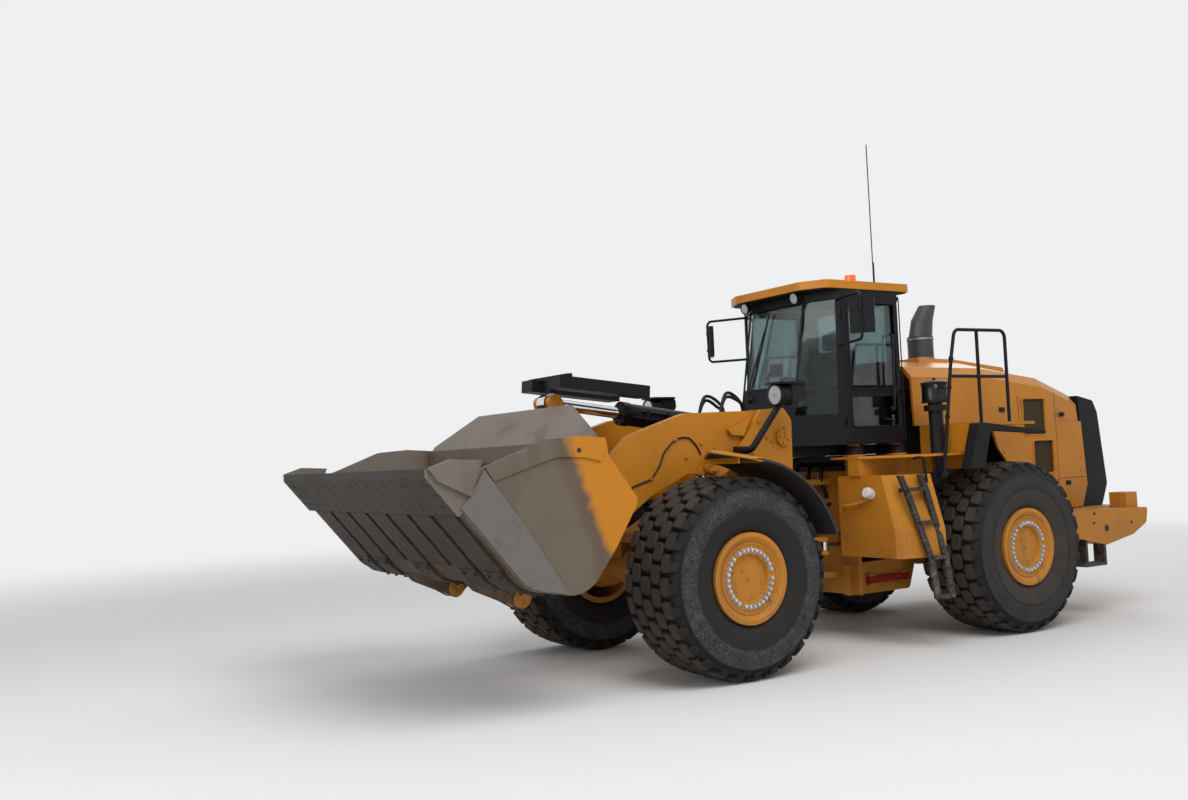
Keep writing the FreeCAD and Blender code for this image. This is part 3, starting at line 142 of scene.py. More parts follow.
class Finish:
    # one material: its nodes, and the handful of patterns that the finishes share
    def __init__(self, name, **plain):
        self.material = bpy.data.materials.new(name)
        self.material.use_nodes = True
        self.tree = self.material.node_tree
        self.tree.nodes.clear()
        self.shader = self.tree.nodes.new("ShaderNodeBsdfPrincipled")
        self.output = self.tree.nodes.new("ShaderNodeOutputMaterial")
        self.tree.links.new(self.shader.outputs[0], self.output.inputs["Surface"])
        self.shader.inputs["Roughness"].default_value = 0.5
        self.set(**plain)

    def set(self, **sockets):
        for name, value in sockets.items():
            socket = self.shader.inputs[name.replace("_", " ")]
            self.feed(socket, value)
        return self

    def feed(self, socket, value):
        if isinstance(value, Signal):
            self.tree.links.new(value.socket, socket)
        elif isinstance(value, (tuple, list)) and len(value) == 3 and socket.type == "RGBA":
            socket.default_value = (*value, 1.0)
        else:
            socket.default_value = value

    def node(self, kind, settings, inputs, output=0):
        made = self.tree.nodes.new(kind)
        for key, value in settings.items():
            if key == "stops":
                ramp = made.color_ramp
                while len(ramp.elements) < len(value):
                    ramp.elements.new(1.0)
                for stop, (place, tone) in zip(ramp.elements, value):
                    stop.position = place
                    stop.color = (*tone, 1.0)
            else:
                setattr(made, key, value)
        for key, value in inputs.items():
            self.feed(made.inputs[key], value)
        return Signal(self, made.outputs[output])

    def mixed(self, mask, first, second):
        return self.node("ShaderNodeMix", {"data_type": "RGBA"}, {0: mask, 6: first, 7: second}, 2)

    def blended(self, how, mask, first, second):
        return self.node("ShaderNodeMix", {"data_type": "RGBA", "blend_type": how}, {0: mask, 6: first, 7: second}, 2)

    def place(self):
        return self.node("ShaderNodeTexCoord", {}, {}, "Object")

    def stretched(self, where, scale):
        return self.node("ShaderNodeVectorMath", {"operation": "MULTIPLY"}, {0: where, 1: scale})

    def noise(self, where, scale, detail=4.0, roughness=0.55, distortion=0.0):
        return self.node("ShaderNodeTexNoise", {}, {"Vector": where, "Scale": scale, "Detail": detail,
                                                   "Roughness": roughness, "Distortion": distortion}, "Fac")

    def axisOf(self, where, axis):
        return self.node("ShaderNodeSeparateXYZ", {}, {"Vector": where}, axis)

    def facingUp(self):
        return self.axisOf(self.node("ShaderNodeTexCoord", {}, {}, "Normal"), "Z")

    def bumped(self, height, strength, distance):
        bump = self.node("ShaderNodeBump", {}, {"Height": height, "Strength": strength, "Distance": distance}, "Normal")
        return self.set(Normal=bump)


# ---- finishes ----
paintSettings = {
    "yellow": (0.52, 0.196, 0.008),
    "yellowFaded": (0.44, 0.168, 0.010),
    "dust": (0.21, 0.155, 0.105),
    "mud": (0.105, 0.083, 0.064),
    "orangePeel": 0.05,
}


def paintedFinish(name, tone, faded, dusty=1.0, gloss=0.38, shine=0.3):
    finish = Finish(name, Metallic=0.0, Specular_IOR_Level=shine)
    where = finish.place()
    height = finish.axisOf(where, "Z")
    broad = finish.noise(where, 1.7, 5.0)
    fine = finish.noise(where, 22.0, 5.0, 0.65)
    streaks = finish.noise(finish.stretched(where, (9.0, 9.0, 0.9)), 1.6, 5.0, 0.6)
    coat = finish.mixed(broad.ramped(0.35, 0.7), tone, faded)
    lowDown = 1.0 - height.ramped(0.2, 2.3)
    upward = finish.facingUp().ramped(0.35, 0.95)
    settled = (upward * 0.22 + lowDown * 0.20 + 0.01) * (broad * 0.9 + fine * 0.7) * dusty
    coat = finish.mixed(settled.limited(), coat, paintSettings["dust"])
    runs = streaks.ramped(0.54, 0.8) * (lowDown * 0.55 + 0.14) * dusty
    coat = finish.mixed(runs.limited(), coat, paintSettings["mud"])
    specks = fine.ramped(0.64, 0.74) * (lowDown * 0.7 + 0.06) * dusty
    coat = finish.mixed(specks.limited(), coat, paintSettings["mud"])
    finish.set(Base_Color=coat, Roughness=(gloss + settled * 0.5 + fine * 0.12 + runs * 0.3).limited())
    finish.bumped(fine * 0.5 + broad, paintSettings["orangePeel"], 0.01)
    return finish.material


def blackFinish(name, tone=(0.0058, 0.0058, 0.0075), dusty=0.14, gloss=0.42):
    return paintedFinish(name, tone, tuple(c * 1.3 for c in tone), dusty, gloss, 0.16)


rubberSettings = {
    "rubber": (0.014, 0.0135, 0.0135),
    "wallDust": (0.058, 0.047, 0.039),
    "scuffed": (0.070, 0.073, 0.082),
    "treadDust": (0.062, 0.050, 0.040),
    "grooveMud": (0.022, 0.018, 0.015),
}


def tyreFinish(name, scuffing, dusty):
    # local place: the wheel's own centre, so the bands follow its radius
    finish = Finish(name, Specular_IOR_Level=0.22)
    where = finish.place()
    radius = finish.node("ShaderNodeVectorMath", {"operation": "LENGTH"}, {0: finish.stretched(where, (1.0, 0.0, 1.0))}, "Value")
    broad = finish.noise(where, 5.0, 6.0, 0.65)
    fine = finish.noise(where, 38.0, 6.0, 0.7)
    scratches = finish.noise(where, 26.0, 8.0, 0.75, 2.2)
    band = radius.ramped(0.600, 0.635) * (1.0 - radius.ramped(0.775, 0.79))
    scuff = (band * (scratches.ramped(0.42, 0.60) * 0.85 + 0.15) * (broad.ramped(0.25, 0.6) * 0.6 + 0.4) * scuffing).limited()
    inside = ((1.0 - radius.ramped(0.590, 0.625)) * (broad * 0.9 + 0.1) + band * broad * 0.35) * dusty
    tone = finish.mixed(inside.limited(), rubberSettings["rubber"], rubberSettings["wallDust"])
    tone = finish.mixed(scuff, tone, rubberSettings["scuffed"])
    flecks = fine.ramped(0.58, 0.70) * (0.14 + band * 0.5 * scuffing) * scratches.ramped(0.4, 0.6)
    tone = finish.mixed(flecks.limited(), tone, (0.17, 0.175, 0.18))
    worn = radius.ramped(0.872, 0.9) * (broad * 0.8 + fine * 0.4 + 0.15)
    tone = finish.mixed(worn.limited(), tone, rubberSettings["treadDust"])
    groove = radius.ramped(0.80, 0.83) * (1.0 - radius.ramped(0.862, 0.885))
    tone = finish.mixed((groove * broad * 0.8).limited(), tone, rubberSettings["grooveMud"])
    finish.set(Base_Color=tone, Roughness=(0.62 + fine * 0.25 - scuff * 0.08).limited())
    finish.bumped(fine * 0.4 + scratches * band * 1.6, 0.5, 0.006)
    return finish.material


bucketSettings = {
    "steel": (0.150, 0.125, 0.102),
    "polished": (0.215, 0.195, 0.172),
    "rust": (0.100, 0.055, 0.032),
    "hinge": (3758.0, 850.0),
    "rack": 50.0,
}


def bucketFinish(name, darker=1.0):
    finish = Finish(name, Specular_IOR_Level=0.35)
    where = finish.place()
    hinge = spot(bucketSettings["hinge"][0], 0, bucketSettings["hinge"][1])
    fromHinge = finish.node("ShaderNodeVectorMath", {"operation": "SUBTRACT"}, {0: where, 1: tuple(hinge)})
    rack = math.radians(bucketSettings["rack"])
    level = finish.node("ShaderNodeVectorRotate", {"rotation_type": "Y_AXIS"}, {"Vector": fromHinge, "Angle": rack})
    reach = finish.axisOf(level, "X")
    across = abs(finish.axisOf(where, "Y"))
    rise = finish.axisOf(level, "Z")
    broad = finish.noise(where, 2.2, 6.0, 0.6, 0.4)
    fine = finish.noise(where, 30.0, 6.0, 0.7)
    drag = finish.noise(finish.stretched(level, (1.2, 10.0, 16.0)), 3.0, 7.0, 0.65)
    steel = finish.mixed((drag.ramped(0.25, 0.85) * 0.6 + broad * 0.3).limited(), bucketSettings["steel"], bucketSettings["polished"])
    rusty = broad.ramped(0.46, 0.74) * 0.65 + fine.ramped(0.6, 0.8) * 0.2
    steel = finish.mixed(rusty.limited(), steel, bucketSettings["rust"])
    # paint stays on the outside of the back, away from the lip and the side plates
    normal = finish.node("ShaderNodeTexCoord", {}, {}, "Normal")
    levelNormal = finish.node("ShaderNodeVectorRotate", {"rotation_type": "Y_AXIS"}, {"Vector": normal, "Angle": rack})
    centre = finish.node("ShaderNodeCombineXYZ", {}, {"X": 0.75, "Z": 0.42})
    outward = finish.node("ShaderNodeVectorMath", {"operation": "SUBTRACT"}, {0: level, 1: centre})
    outwardFlat = finish.stretched(outward, (1.0, 0.0, 1.0))
    side = finish.node("ShaderNodeVectorMath", {"operation": "DOT_PRODUCT"}, {0: outwardFlat, 1: levelNormal}, "Value")
    outside = side.ramped(0.02, 0.12)
    paintLeft = outside * (1.0 - (reach + broad * 0.7 + drag * 0.2).ramped(1.2, 1.9))
    ears = (1.0 - reach.ramped(0.1, 0.5)) * (1.0 - across.ramped(0.75, 0.8))
    paintLeft = (paintLeft + ears * 0.8) * (1.0 - drag.ramped(0.6, 0.8) * 0.4)
    # on the side plates the paint is left only high up at the back
    cheek = across.ramped(1.700, 1.702)
    highBack = (rise - reach * 0.32 + (broad - 0.5) * 0.30 - 0.42).ramped(0.0, 0.10)
    rim = (1.0 - abs(rise - reach * 0.32 + (broad - 0.5) * 0.30 - 0.40).ramped(0.02, 0.16)) * cheek
    paintLeft = paintLeft * (1.0 - cheek) + cheek * highBack
    steel = finish.mixed((rim * 0.75).limited(), steel, bucketSettings["rust"])
    behind = (cheek * (1.0 - (reach * 0.9 - rise * 0.2).ramped(0.9, 1.3)) * (broad * 0.5 + 0.35)).limited()
    steel = finish.mixed(behind, steel, (0.125, 0.092, 0.060))
    # the shell's paint turns dark brown: mud and rust, darkened further as painted shade of the underside
    below = ((broad.ramped(0.22, 0.5) * 0.75 + 0.22) * (1.0 - cheek)).limited()
    paint = finish.mixed(below, paintSettings["yellow"], (0.075, 0.042, 0.020))
    tone = finish.mixed(paintLeft.limited(), steel, paint)
    # painted shade: the outward faces of the shell, off the side plates, are multiplied darker
    paintedShade = (outside * (1.0 - cheek)).limited()
    tone = finish.blended("MULTIPLY", paintedShade, tone, (0.52, 0.47, 0.42))
    if darker < 1:
        # the corner cutters are cleaner than the edge between them
        between = 1.0 - across.ramped(1.683, 1.6835)
        tone = finish.blended("MULTIPLY", between, tone, (darker, darker * 0.93, darker * 0.87))
    dust = (1.0 - rise.ramped(-0.3, 0.4)) * fine.ramped(0.45, 0.75) * 0.35
    tone = finish.mixed(dust.limited(), tone, (0.15, 0.125, 0.10))
    finish.set(Base_Color=tone, Metallic=((1.0 - paintLeft.limited()) * 0.35 * drag.ramped(0.4, 0.7)).limited(),
               Roughness=(0.5 + broad * 0.2 + fine * 0.15 - drag * 0.12).limited())
    finish.bumped(fine * 0.5 + drag * 0.8, 0.3, 0.005)
    return finish.material


def muddyFinish():
    # black step steel spattered with pale mud, thicker low down
    finish = Finish("step_steel_muddy", Specular_IOR_Level=0.3)
    where = finish.place()
    spatter = finish.noise(where, 75.0, 6.0, 0.7)
    caked = finish.noise(where, 9.0, 6.0, 0.6)
    low = 1.0 - finish.axisOf(where, "Z").ramped(0.5, 1.6)
    mud = (spatter.ramped(0.52, 0.57) * (0.55 + low * 0.4) + caked.ramped(0.5, 0.7) * low * 0.8).limited()
    finish.set(Base_Color=finish.mixed(mud, (0.010, 0.0095, 0.009), (0.17, 0.135, 0.10)), Roughness=(0.5 + mud * 0.4).limited())
    finish.bumped(mud + spatter * 0.3, 0.4, 0.004)
    return finish.material


def fenderFinish():
    # black rubber and plate, with the broad yellow lip in front
    finish = Finish("front_fender_two_tone")
    where = finish.place()
    lipEdge = spot(1752, 0, 0).x
    lip = finish.axisOf(where, "X").ramped(lipEdge, lipEdge + 0.002) * finish.facingUp().ramped(-0.5, -0.4)
    broad = finish.noise(where, 3.0, 5.0)
    fine = finish.noise(where, 30.0, 5.0, 0.65)
    dust = (finish.facingUp().ramped(0.3, 1.0) * broad * 0.35 + fine.ramped(0.6, 0.8) * 0.2).limited()
    rubber = finish.mixed(dust, (0.014, 0.014, 0.014), (0.10, 0.085, 0.068))
    yellow = finish.mixed(dust, paintSettings["yellow"], paintSettings["dust"])
    finish.set(Base_Color=finish.mixed(lip.limited(), rubber, yellow), Roughness=(0.66 - lip * 0.25 + dust * 0.2).limited())
    finish.bumped(fine, 0.12, 0.004)
    return finish.material


def metalFinish(name, tone, rough, metallic=1.0, grime=0.3):
    finish = Finish(name)
    where = finish.place()
    fine = finish.noise(where, 55.0, 5.0, 0.6)
    broad = finish.noise(where, 6.0, 5.0)
    smear = (broad.ramped(0.45, 0.75) * grime + fine.ramped(0.6, 0.75) * grime * 0.5).limited()
    finish.set(Base_Color=finish.mixed(smear, tone, tuple(c * 0.35 for c in tone)), Metallic=(metallic - smear * 0.6).limited(),
               Roughness=(rough + smear * 0.35 + fine * 0.06).limited())
    finish.bumped(fine, 0.05, 0.003)
    return finish.material


def plasticFinish(name, tone, rough=0.5, grain=180.0, grainDepth=0.12):
    finish = Finish(name, Specular_IOR_Level=0.22)
    where = finish.place()
    grained = finish.noise(where, grain, 3.0, 0.5)
    broad = finish.noise(where, 3.0, 5.0)
    dust = (broad.ramped(0.5, 0.8) * 0.10 + finish.facingUp().ramped(0.6, 1.0) * 0.12).limited()
    finish.set(Base_Color=finish.mixed(dust, tone, (0.13, 0.115, 0.10)), Roughness=(rough + dust * 0.4 + grained * 0.1).limited())
    finish.bumped(grained, grainDepth, 0.002)
    return finish.material


def glassFinish(name, tint, clear=0.55):
    finish = Finish(name, Transmission_Weight=1.0, IOR=1.45, Base_Color=tint)
    where = finish.place()
    film = finish.noise(where, 2.5, 6.0, 0.6)
    specks = finish.noise(where, 60.0, 4.0, 0.6)
    finish.set(Roughness=(film * 0.05 + specks.ramped(0.66, 0.8) * 0.3).limited(),
               Alpha=(1.0 - clear + film.ramped(0.4, 0.8) * 0.10 + specks.ramped(0.68, 0.8) * 0.2).limited())
    return finish.material


def fabricFinish(name, tone):
    finish = Finish(name, Sheen_Weight=0.35, Sheen_Roughness=0.5, Specular_IOR_Level=0.25)
    where = finish.place()
    warp = finish.node("ShaderNodeTexWave", {"wave_type": "BANDS", "bands_direction": "X"},
                       {"Vector": where, "Scale": 190.0, "Distortion": 0.6}, "Fac")
    weft = finish.node("ShaderNodeTexWave", {"wave_type": "BANDS", "bands_direction": "Z"},
                       {"Vector": where, "Scale": 190.0, "Distortion": 0.6}, "Fac")
    weave = warp * weft
    broad = finish.noise(where, 7.0, 4.0)
    finish.set(Base_Color=finish.mixed((weave * 0.5 + broad * 0.4).limited(), tone, tuple(c * 2.1 for c in tone)),
               Roughness=(0.85 + broad * 0.1).limited())
    finish.bumped(weave, 0.3, 0.002)
    return finish.material


def lensFinish(name, tint, glow=0.0):
    finish = Finish(name, Transmission_Weight=0.7, IOR=1.46, Roughness=0.06, Coat_Weight=0.4)
    where = finish.place()
    ribs = finish.node("ShaderNodeTexWave", {"wave_type": "BANDS", "bands_direction": "Y"}, {"Vector": where, "Scale": 40.0}, "Fac")
    film = finish.noise(where, 9.0, 5.0)
    tone = finish.mixed(film.ramped(0.4, 0.9), tint, tuple(c * 0.7 for c in tint))
    finish.set(Base_Color=tone, Emission_Color=tone, Emission_Strength=glow)
    finish.bumped(ribs, 0.15, 0.003)
    return finish.material


def screenFinish():
    # woven wire: the open cells are painted near black, as painted shade of the hollow behind the mesh
    finish = Finish("intake_mesh", Metallic=0.1, Specular_IOR_Level=0.3)
    where = finish.place()
    across = abs(finish.node("ShaderNodeMath", {"operation": "SINE"}, {0: finish.axisOf(where, "X") * 420.0}))
    rising = abs(finish.node("ShaderNodeMath", {"operation": "SINE"}, {0: finish.axisOf(where, "Z") * 420.0}))
    wire = 1.0 - (across.ramped(0.25, 0.5) * rising.ramped(0.25, 0.5))
    dust = finish.noise(where, 5.0, 5.0)
    tone = finish.mixed(wire, (0.008, 0.006, 0.004), (0.088, 0.048, 0.016))
    finish.set(Base_Color=finish.mixed((dust.ramped(0.4, 0.8) * 0.3).limited(), tone, (0.10, 0.065, 0.03)), Roughness=(0.55 + dust * 0.3).limited())
    finish.bumped(wire, 0.6, 0.003)
    return finish.material


materials = {
    "yellow": paintedFinish("loader_paint", paintSettings["yellow"], paintSettings["yellowFaded"]),
    "cleanYellow": paintedFinish("hood_paint", paintSettings["yellow"], paintSettings["yellowFaded"], 0.45, 0.3),
    "black": blackFinish("frame_paint_black"),
    "fenderRubber": blackFinish("fender_rubber", (0.0065, 0.0065, 0.008), 0.25, 0.5),
    "tyre": tyreFinish("tyre_rubber_scuffed", 1.0, 0.22),
    "rearTyre": tyreFinish("tyre_rubber_dusty", 0.35, 1.25),
    "bucket": bucketFinish("bucket_worn_steel"),
    "edge": bucketFinish("edge_dark_steel", 0.24),
    "chrome": metalFinish("rod_chrome_polished", (0.72, 0.73, 0.75), 0.08, 1.0, 0.12),
    "steel": metalFinish("bare_steel", (0.30, 0.285, 0.27), 0.42, 0.8, 0.5),
    "nut": metalFinish("zinc_nuts", (0.62, 0.62, 0.62), 0.3, 0.9, 0.3),
    "exhaust": metalFinish("exhaust_grey", (0.055, 0.054, 0.058), 0.5, 0.4, 0.3),
    "plastic": plasticFinish("cab_charcoal", (0.0062, 0.0062, 0.0082), 0.4),
    "trim": plasticFinish("interior_grey", (0.05, 0.05, 0.052), 0.6),
    "headliner": plasticFinish("headliner_grey", (0.24, 0.235, 0.225), 0.8, 90.0, 0.3),
    "seal": plasticFinish("window_seal", (0.008, 0.008, 0.008), 0.6),
    "hose": plasticFinish("hose_rubber", (0.011, 0.011, 0.011), 0.5, 260.0, 0.3),
    "glass": glassFinish("cab_glass_tinted", (0.24, 0.345, 0.345), 0.14),
    "bowl": glassFinish("bowl_smoked", (0.42, 0.41, 0.39), 0.3),
    "lens": lensFinish("lamp_lens", (0.9, 0.92, 0.95)),
    "amber": lensFinish("amber_lens", (1.0, 0.16, 0.01), 0.25),
    "red": lensFinish("red_lens", (0.55, 0.01, 0.008)),
    "mirror": metalFinish("mirror_face", (0.80, 0.82, 0.84), 0.03, 1.0, 0.05),
    "seat": fabricFinish("seat_cloth", (0.035, 0.036, 0.04)),
    "screen": screenFinish(),
    "redPaint": paintedFinish("lock_bar_red", (0.30, 0.008, 0.006), (0.24, 0.008, 0.006), 0.35),
    "white": paintedFinish("filter_white", (0.72, 0.72, 0.70), (0.62, 0.62, 0.60), 0.5),
    "dark": metalFinish("bolt_dark", (0.030, 0.028, 0.026), 0.55, 0.4, 0.4),
    "plate": metalFinish("side_plate_grey", (0.150, 0.138, 0.126), 0.5, 0.2, 0.4),
    "frontFender": fenderFinish(),
    "muddy": muddyFinish(),
}
print("finishes made:", len(materials))

# CAD nodes take the finish of their slot, unless a node has one of its own
slotFinish = {
    "loader_yellow": "yellow",
    "frame_black": "black",
    "tyre_rubber": "tyre",
    "rod_chrome": "chrome",
    "worn_steel": "steel",
    "cab_plastic": "plastic",
    "window_glass": "glass",
    "beacon_lens": "amber",
}
nodeFinish = {
    "bucket": "bucket",
    "cutting_edge": "edge",
    "hood": "cleanYellow",
    "cab_roof": "cleanYellow",
    "hood_screens": "screen",
    "exhaust_stack": "exhaust",
    "rear_fenders": "fenderRubber",
    "front_fenders": "frontFender",
    "ladders": "muddy",
    "seat": "trim",
    "controls": "trim",
}


def dressNodes():
    for name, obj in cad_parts.items():
        for holder in obj.material_slots:
            chosen = nodeFinish.get(name) or slotFinish.get(holder.material.name.split(".")[0] if holder.material else "", "black")
            holder.material = materials[chosen]


dressNodes()


# ---- mesh helpers ----
def makePiece(name, mesh, finish, body, sharp=35.0, replaced=()):
    if isinstance(mesh, bmesh.types.BMesh):
        data = bpy.data.meshes.new(name)
        bmesh.ops.recalc_face_normals(mesh, faces=mesh.faces)
        mesh.to_mesh(data)
        mesh.free()
    else:
        data = mesh
    for polygon in data.polygons:
        polygon.use_smooth = True
    data.set_sharp_from_angle(angle=math.radians(sharp))
    piece = bpy.data.objects.new(name, data)
    if not data.materials:
        data.materials.append(materials[finish])
    scene.collection.objects.link(piece)
    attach(piece, body)
    if replaced:
        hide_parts(*replaced)
    return piece


def addBlock(mesh, low, high, bevel=0.004, turn=None):
    # a block with rounded edges, in metres, or turned about its own middle
    low, high = Vector(low), Vector(high)
    made = bmesh.ops.create_cube(mesh, size=1.0)["verts"]
    shape = Matrix.Diagonal((*(high - low), 1.0))
    move = Matrix.Translation((low + high) / 2)
    bmesh.ops.transform(mesh, matrix=move @ (turn or Matrix()) @ shape, verts=made)
    if bevel:
        edges = list({e for v in made for e in v.link_edges})
        bmesh.ops.bevel(mesh, geom=edges, offset=bevel, segments=2, affect="EDGES")


def addPlate(mesh, outline, thickness, bevel=0.003):
    # outline: points of one flat face in order; thickness: the vector that it is pushed along
    start = [mesh.verts.new(p) for p in outline]
    face = mesh.faces.new(start)
    pushed = bmesh.ops.extrude_face_region(mesh, geom=[face])["geom"]
    moved = [g for g in pushed if isinstance(g, bmesh.types.BMVert)]
    bmesh.ops.translate(mesh, verts=moved, vec=thickness)
    if bevel:
        edges = list({e for v in start + moved for e in v.link_edges})
        bmesh.ops.bevel(mesh, geom=edges, offset=bevel, segments=2, affect="EDGES")


def axisFrame(axis):
    axis = Vector(axis).normalized()
    side = axis.orthogonal().normalized()
    return axis, side, axis.cross(side)


def addTurned(mesh, profile, centre, axis, steps=32):
    # profile: (along the axis, radius) points, closed at both ends where the radius is 0
    axis, side, other = axisFrame(axis)
    rings = []
    for along, radius in profile:
        if radius < 1e-6:
            rings.append([mesh.verts.new(centre + axis * along)])
            continue
        rings.append([mesh.verts.new(centre + axis * along + (side * math.cos(a) + other * math.sin(a)) * radius)
                      for a in (2 * math.pi * k / steps for k in range(steps))])
    for ring, nextRing in zip(rings, rings[1:]):
        for k in range(steps):
            j = (k + 1) % steps
            corners = [ring[k % len(ring)], ring[j % len(ring)], nextRing[j % len(nextRing)], nextRing[k % len(nextRing)]]
            unique = list(dict.fromkeys(corners))
            if len(unique) > 2:
                mesh.faces.new(unique)


def addBolt(mesh, point, axis, size=0.016, height=0.012):
    # hexagon head on a round washer
    axis, side, other = axisFrame(axis)
    point = Vector(point)
    addTurned(mesh, [(-0.001, 0.0), (-0.001, size * 1.35), (height * 0.2, size * 1.35), (height * 0.25, size * 1.2)], point, axis, 16)
    low = [mesh.verts.new(point + axis * height * 0.25 + (side * math.cos(a) + other * math.sin(a)) * size) for a in (math.pi * k / 3 for k in range(6))]
    high = [mesh.verts.new(v.co + axis * height * 0.65) for v in low]
    top = [mesh.verts.new(v.co + axis * height * 0.1 - (v.co - point - axis * height * 0.9) * 0.14) for v in high]
    for k in range(6):
        j = (k + 1) % 6
        mesh.faces.new((low[k], low[j], high[j], high[k]))
        mesh.faces.new((high[k], high[j], top[j], top[k]))
    mesh.faces.new(top)
    mesh.faces.new(list(reversed(low)))


def addTube(mesh, path, radius, sides=12):
    # a round tube through the points of a path, its ends closed
    path = [Vector(p) for p in path]
    rings = []
    ahead = (path[1] - path[0]).normalized()
    side = ahead.orthogonal().normalized()
    for k, point in enumerate(path):
        before = (point - path[k - 1]).normalized() if k else ahead
        after = (path[k + 1] - point).normalized() if k + 1 < len(path) else before
        ahead = (before + after).normalized()
        side = (side - ahead * side.dot(ahead)).normalized()
        other = ahead.cross(side)
        rings.append([mesh.verts.new(point + (side * math.cos(a) + other * math.sin(a)) * radius)
                      for a in (2 * math.pi * k2 / sides for k2 in range(sides))])
    for ring, nextRing in zip(rings, rings[1:]):
        for k in range(sides):
            j = (k + 1) % sides
            mesh.faces.new((ring[k], ring[j], nextRing[j], nextRing[k]))
    mesh.faces.new(list(reversed(rings[0])))
    mesh.faces.new(rings[-1])


def smoothPath(points, steps=8):
    # a soft line through a few given points
    points = [Vector(p) for p in points]
    padded = [points[0] * 2 - points[1]] + points + [points[-1] * 2 - points[-2]]
    line = []
    for k in range(len(points) - 1):
        a, b, c, d = padded[k:k + 4]
        for s in range(steps):
            t = s / steps
            line.append(0.5 * (2 * b + (c - a) * t + (2 * a - 5 * b + 4 * c - d) * t * t + (3 * b - a - 3 * c + d) * t ** 3))
    return line + [points[-1]]


def roundedPath(points, bend, steps=5):
    # straight runs joined by arcs, as bent pipe is
    points = [Vector(p) for p in points]
    line = [points[0]]
    for before, corner, after in zip(points, points[1:], points[2:]):
        back, ahead = (before - corner), (after - corner)
        reach = min(bend, back.length * 0.45, ahead.length * 0.45)
        start, end = corner + back.normalized() * reach, corner + ahead.normalized() * reach
        for s in range(steps + 1):
            t = s / steps
            line.append(start.lerp(corner, t).lerp(corner.lerp(end, t), t))
    return line + [points[-1]]


print("helpers ready")


# ---- tyres: one mesh, used on all four wheels ----
tyreSettings = {
    "radius": 905.0,
    "lugsPerTurn": 28,
    "grooveDepth": 47.0,
    "lugBevel": 8.0,
    "steps": 112,
}
wheelSpots = {
    "front_left": (1900.0, 1220.0, 1),
    "front_right": (1900.0, -1220.0, -1),
    "rear_left": (-1900.0, 1220.0, 1),
    "rear_right": (-1900.0, -1220.0, -1),
}
treadPath = [(0, 905), (200, 904), (295, 899), (330, 886), (348, 866), (361, 822), (369, 797)]   # across, radius
carcassPath = [(300, 373), (309, 378), (318, 411), (335, 425), (356, 468), (377, 530), (389, 585), (391.5, 612), (387, 618),
               (387, 626), (391, 632), (389, 680), (382, 735), (375, 772), (379, 779), (380, 786), (376, 792), (364, 797),
               (350, 815), (326, 843), (298, 856), (150, 859), (0, 860)]
lugRows = {
    # stations: distance across from the middle, then the two ends round the tyre
    "middle": [(-66, -40, 62), (-34, -76, 82), (34, -82, 76), (66, -62, 40)],
    "inner": [(84, -44, 62), (112, -78, 82), (172, -82, 78), (200, -66, 50)],
    "shoulder": [(218, -56, 54), (244, -78, 80), (300, -80, 80), (326, -78, 74), (338, -76, 22), (380, -70, 12), (420, -62, 0)],
}


def treadPoint(across, depth):
    # a point on the tread's outer line, sunk inwards by depth
    left = abs(across)
    for (y0, r0), (y1, r1) in zip(treadPath, treadPath[1:]):
        run = math.hypot(y1 - y0, r1 - r0)
        if left <= run or (y1, r1) == treadPath[-1]:
            t = left / run
            normal = Vector((r0 - r1, y1 - y0)).normalized()
            y, r = y0 + (y1 - y0) * t - normal.x * depth, r0 + (r1 - r0) * t - normal.y * depth
            return (math.copysign(y, across) if across else y), r
        left -= run


def addLug(mesh, stations, middle, flip):
    depth, bevel = tyreSettings["grooveDepth"], tyreSettings["lugBevel"]
    jitter = [dice.uniform(-2.5, 2.5) for _ in range(2)]
    (t0, a0, b0), (t1, a1, b1) = stations[0], stations[-1]
    rows = [(t0 - 6, a0, b0, depth, depth), (t0, a0, b0, bevel, bevel * 2), (t0 + bevel, a0 - bevel, b0 + bevel, 0, bevel)]
    rows += [(t, a, b, 0, bevel) for t, a, b in stations[1:-1]]
    rows += [(t1 - bevel, a1 - bevel, b1 + bevel, 0, bevel), (t1, a1, b1, bevel, bevel * 2), (t1 + 6, a1, b1, depth, depth)]
    grid = []
    for across, low, high, top, edge in rows:
        line = []
        for along, sunk in ((low - 8, depth), (low + jitter[0], edge), (low + bevel, top), (high - bevel, top), (high + jitter[1], edge), (high + 8, depth)):
            y, r = treadPoint(across * flip, sunk)
            angle = middle + flip * along / tyreSettings["radius"]
            line.append(mesh.verts.new((r * math.cos(angle) / 1000, y / 1000, r * math.sin(angle) / 1000)))
        grid.append(line)
    for row, nextRow in zip(grid, grid[1:]):
        for k in range(5):
            mesh.faces.new((row[k], row[k + 1], nextRow[k + 1], nextRow[k]))


def tyreMesh():
    mesh = bmesh.new()
    steps = tyreSettings["steps"]
    profile = carcassPath + [(-y, r) for y, r in reversed(carcassPath[:-1])]
    rings = [[mesh.verts.new((r * math.cos(a) / 1000, y / 1000, r * math.sin(a) / 1000))
              for a in (2 * math.pi * k / steps for k in range(steps))] for y, r in profile]
    for ring, nextRing in zip(rings, rings[1:] + rings[:1]):
        for k in range(steps):
            j = (k + 1) % steps
            mesh.faces.new((ring[k], ring[j], nextRing[j], nextRing[k]))
    pitch = 2 * math.pi / tyreSettings["lugsPerTurn"]
    for k in range(tyreSettings["lugsPerTurn"]):
        addLug(mesh, lugRows["middle"], k * pitch, 1)
        for flip in (1, -1):
            addLug(mesh, lugRows["inner"], (k + 0.5) * pitch, flip)
            addLug(mesh, lugRows["shoulder"], k * pitch, flip)
    bmesh.ops.recalc_face_normals(mesh, faces=mesh.faces)
    data = bpy.data.meshes.new("tyre")
    mesh.to_mesh(data)
    mesh.free()
    data.materials.append(materials["tyre"])
    return data


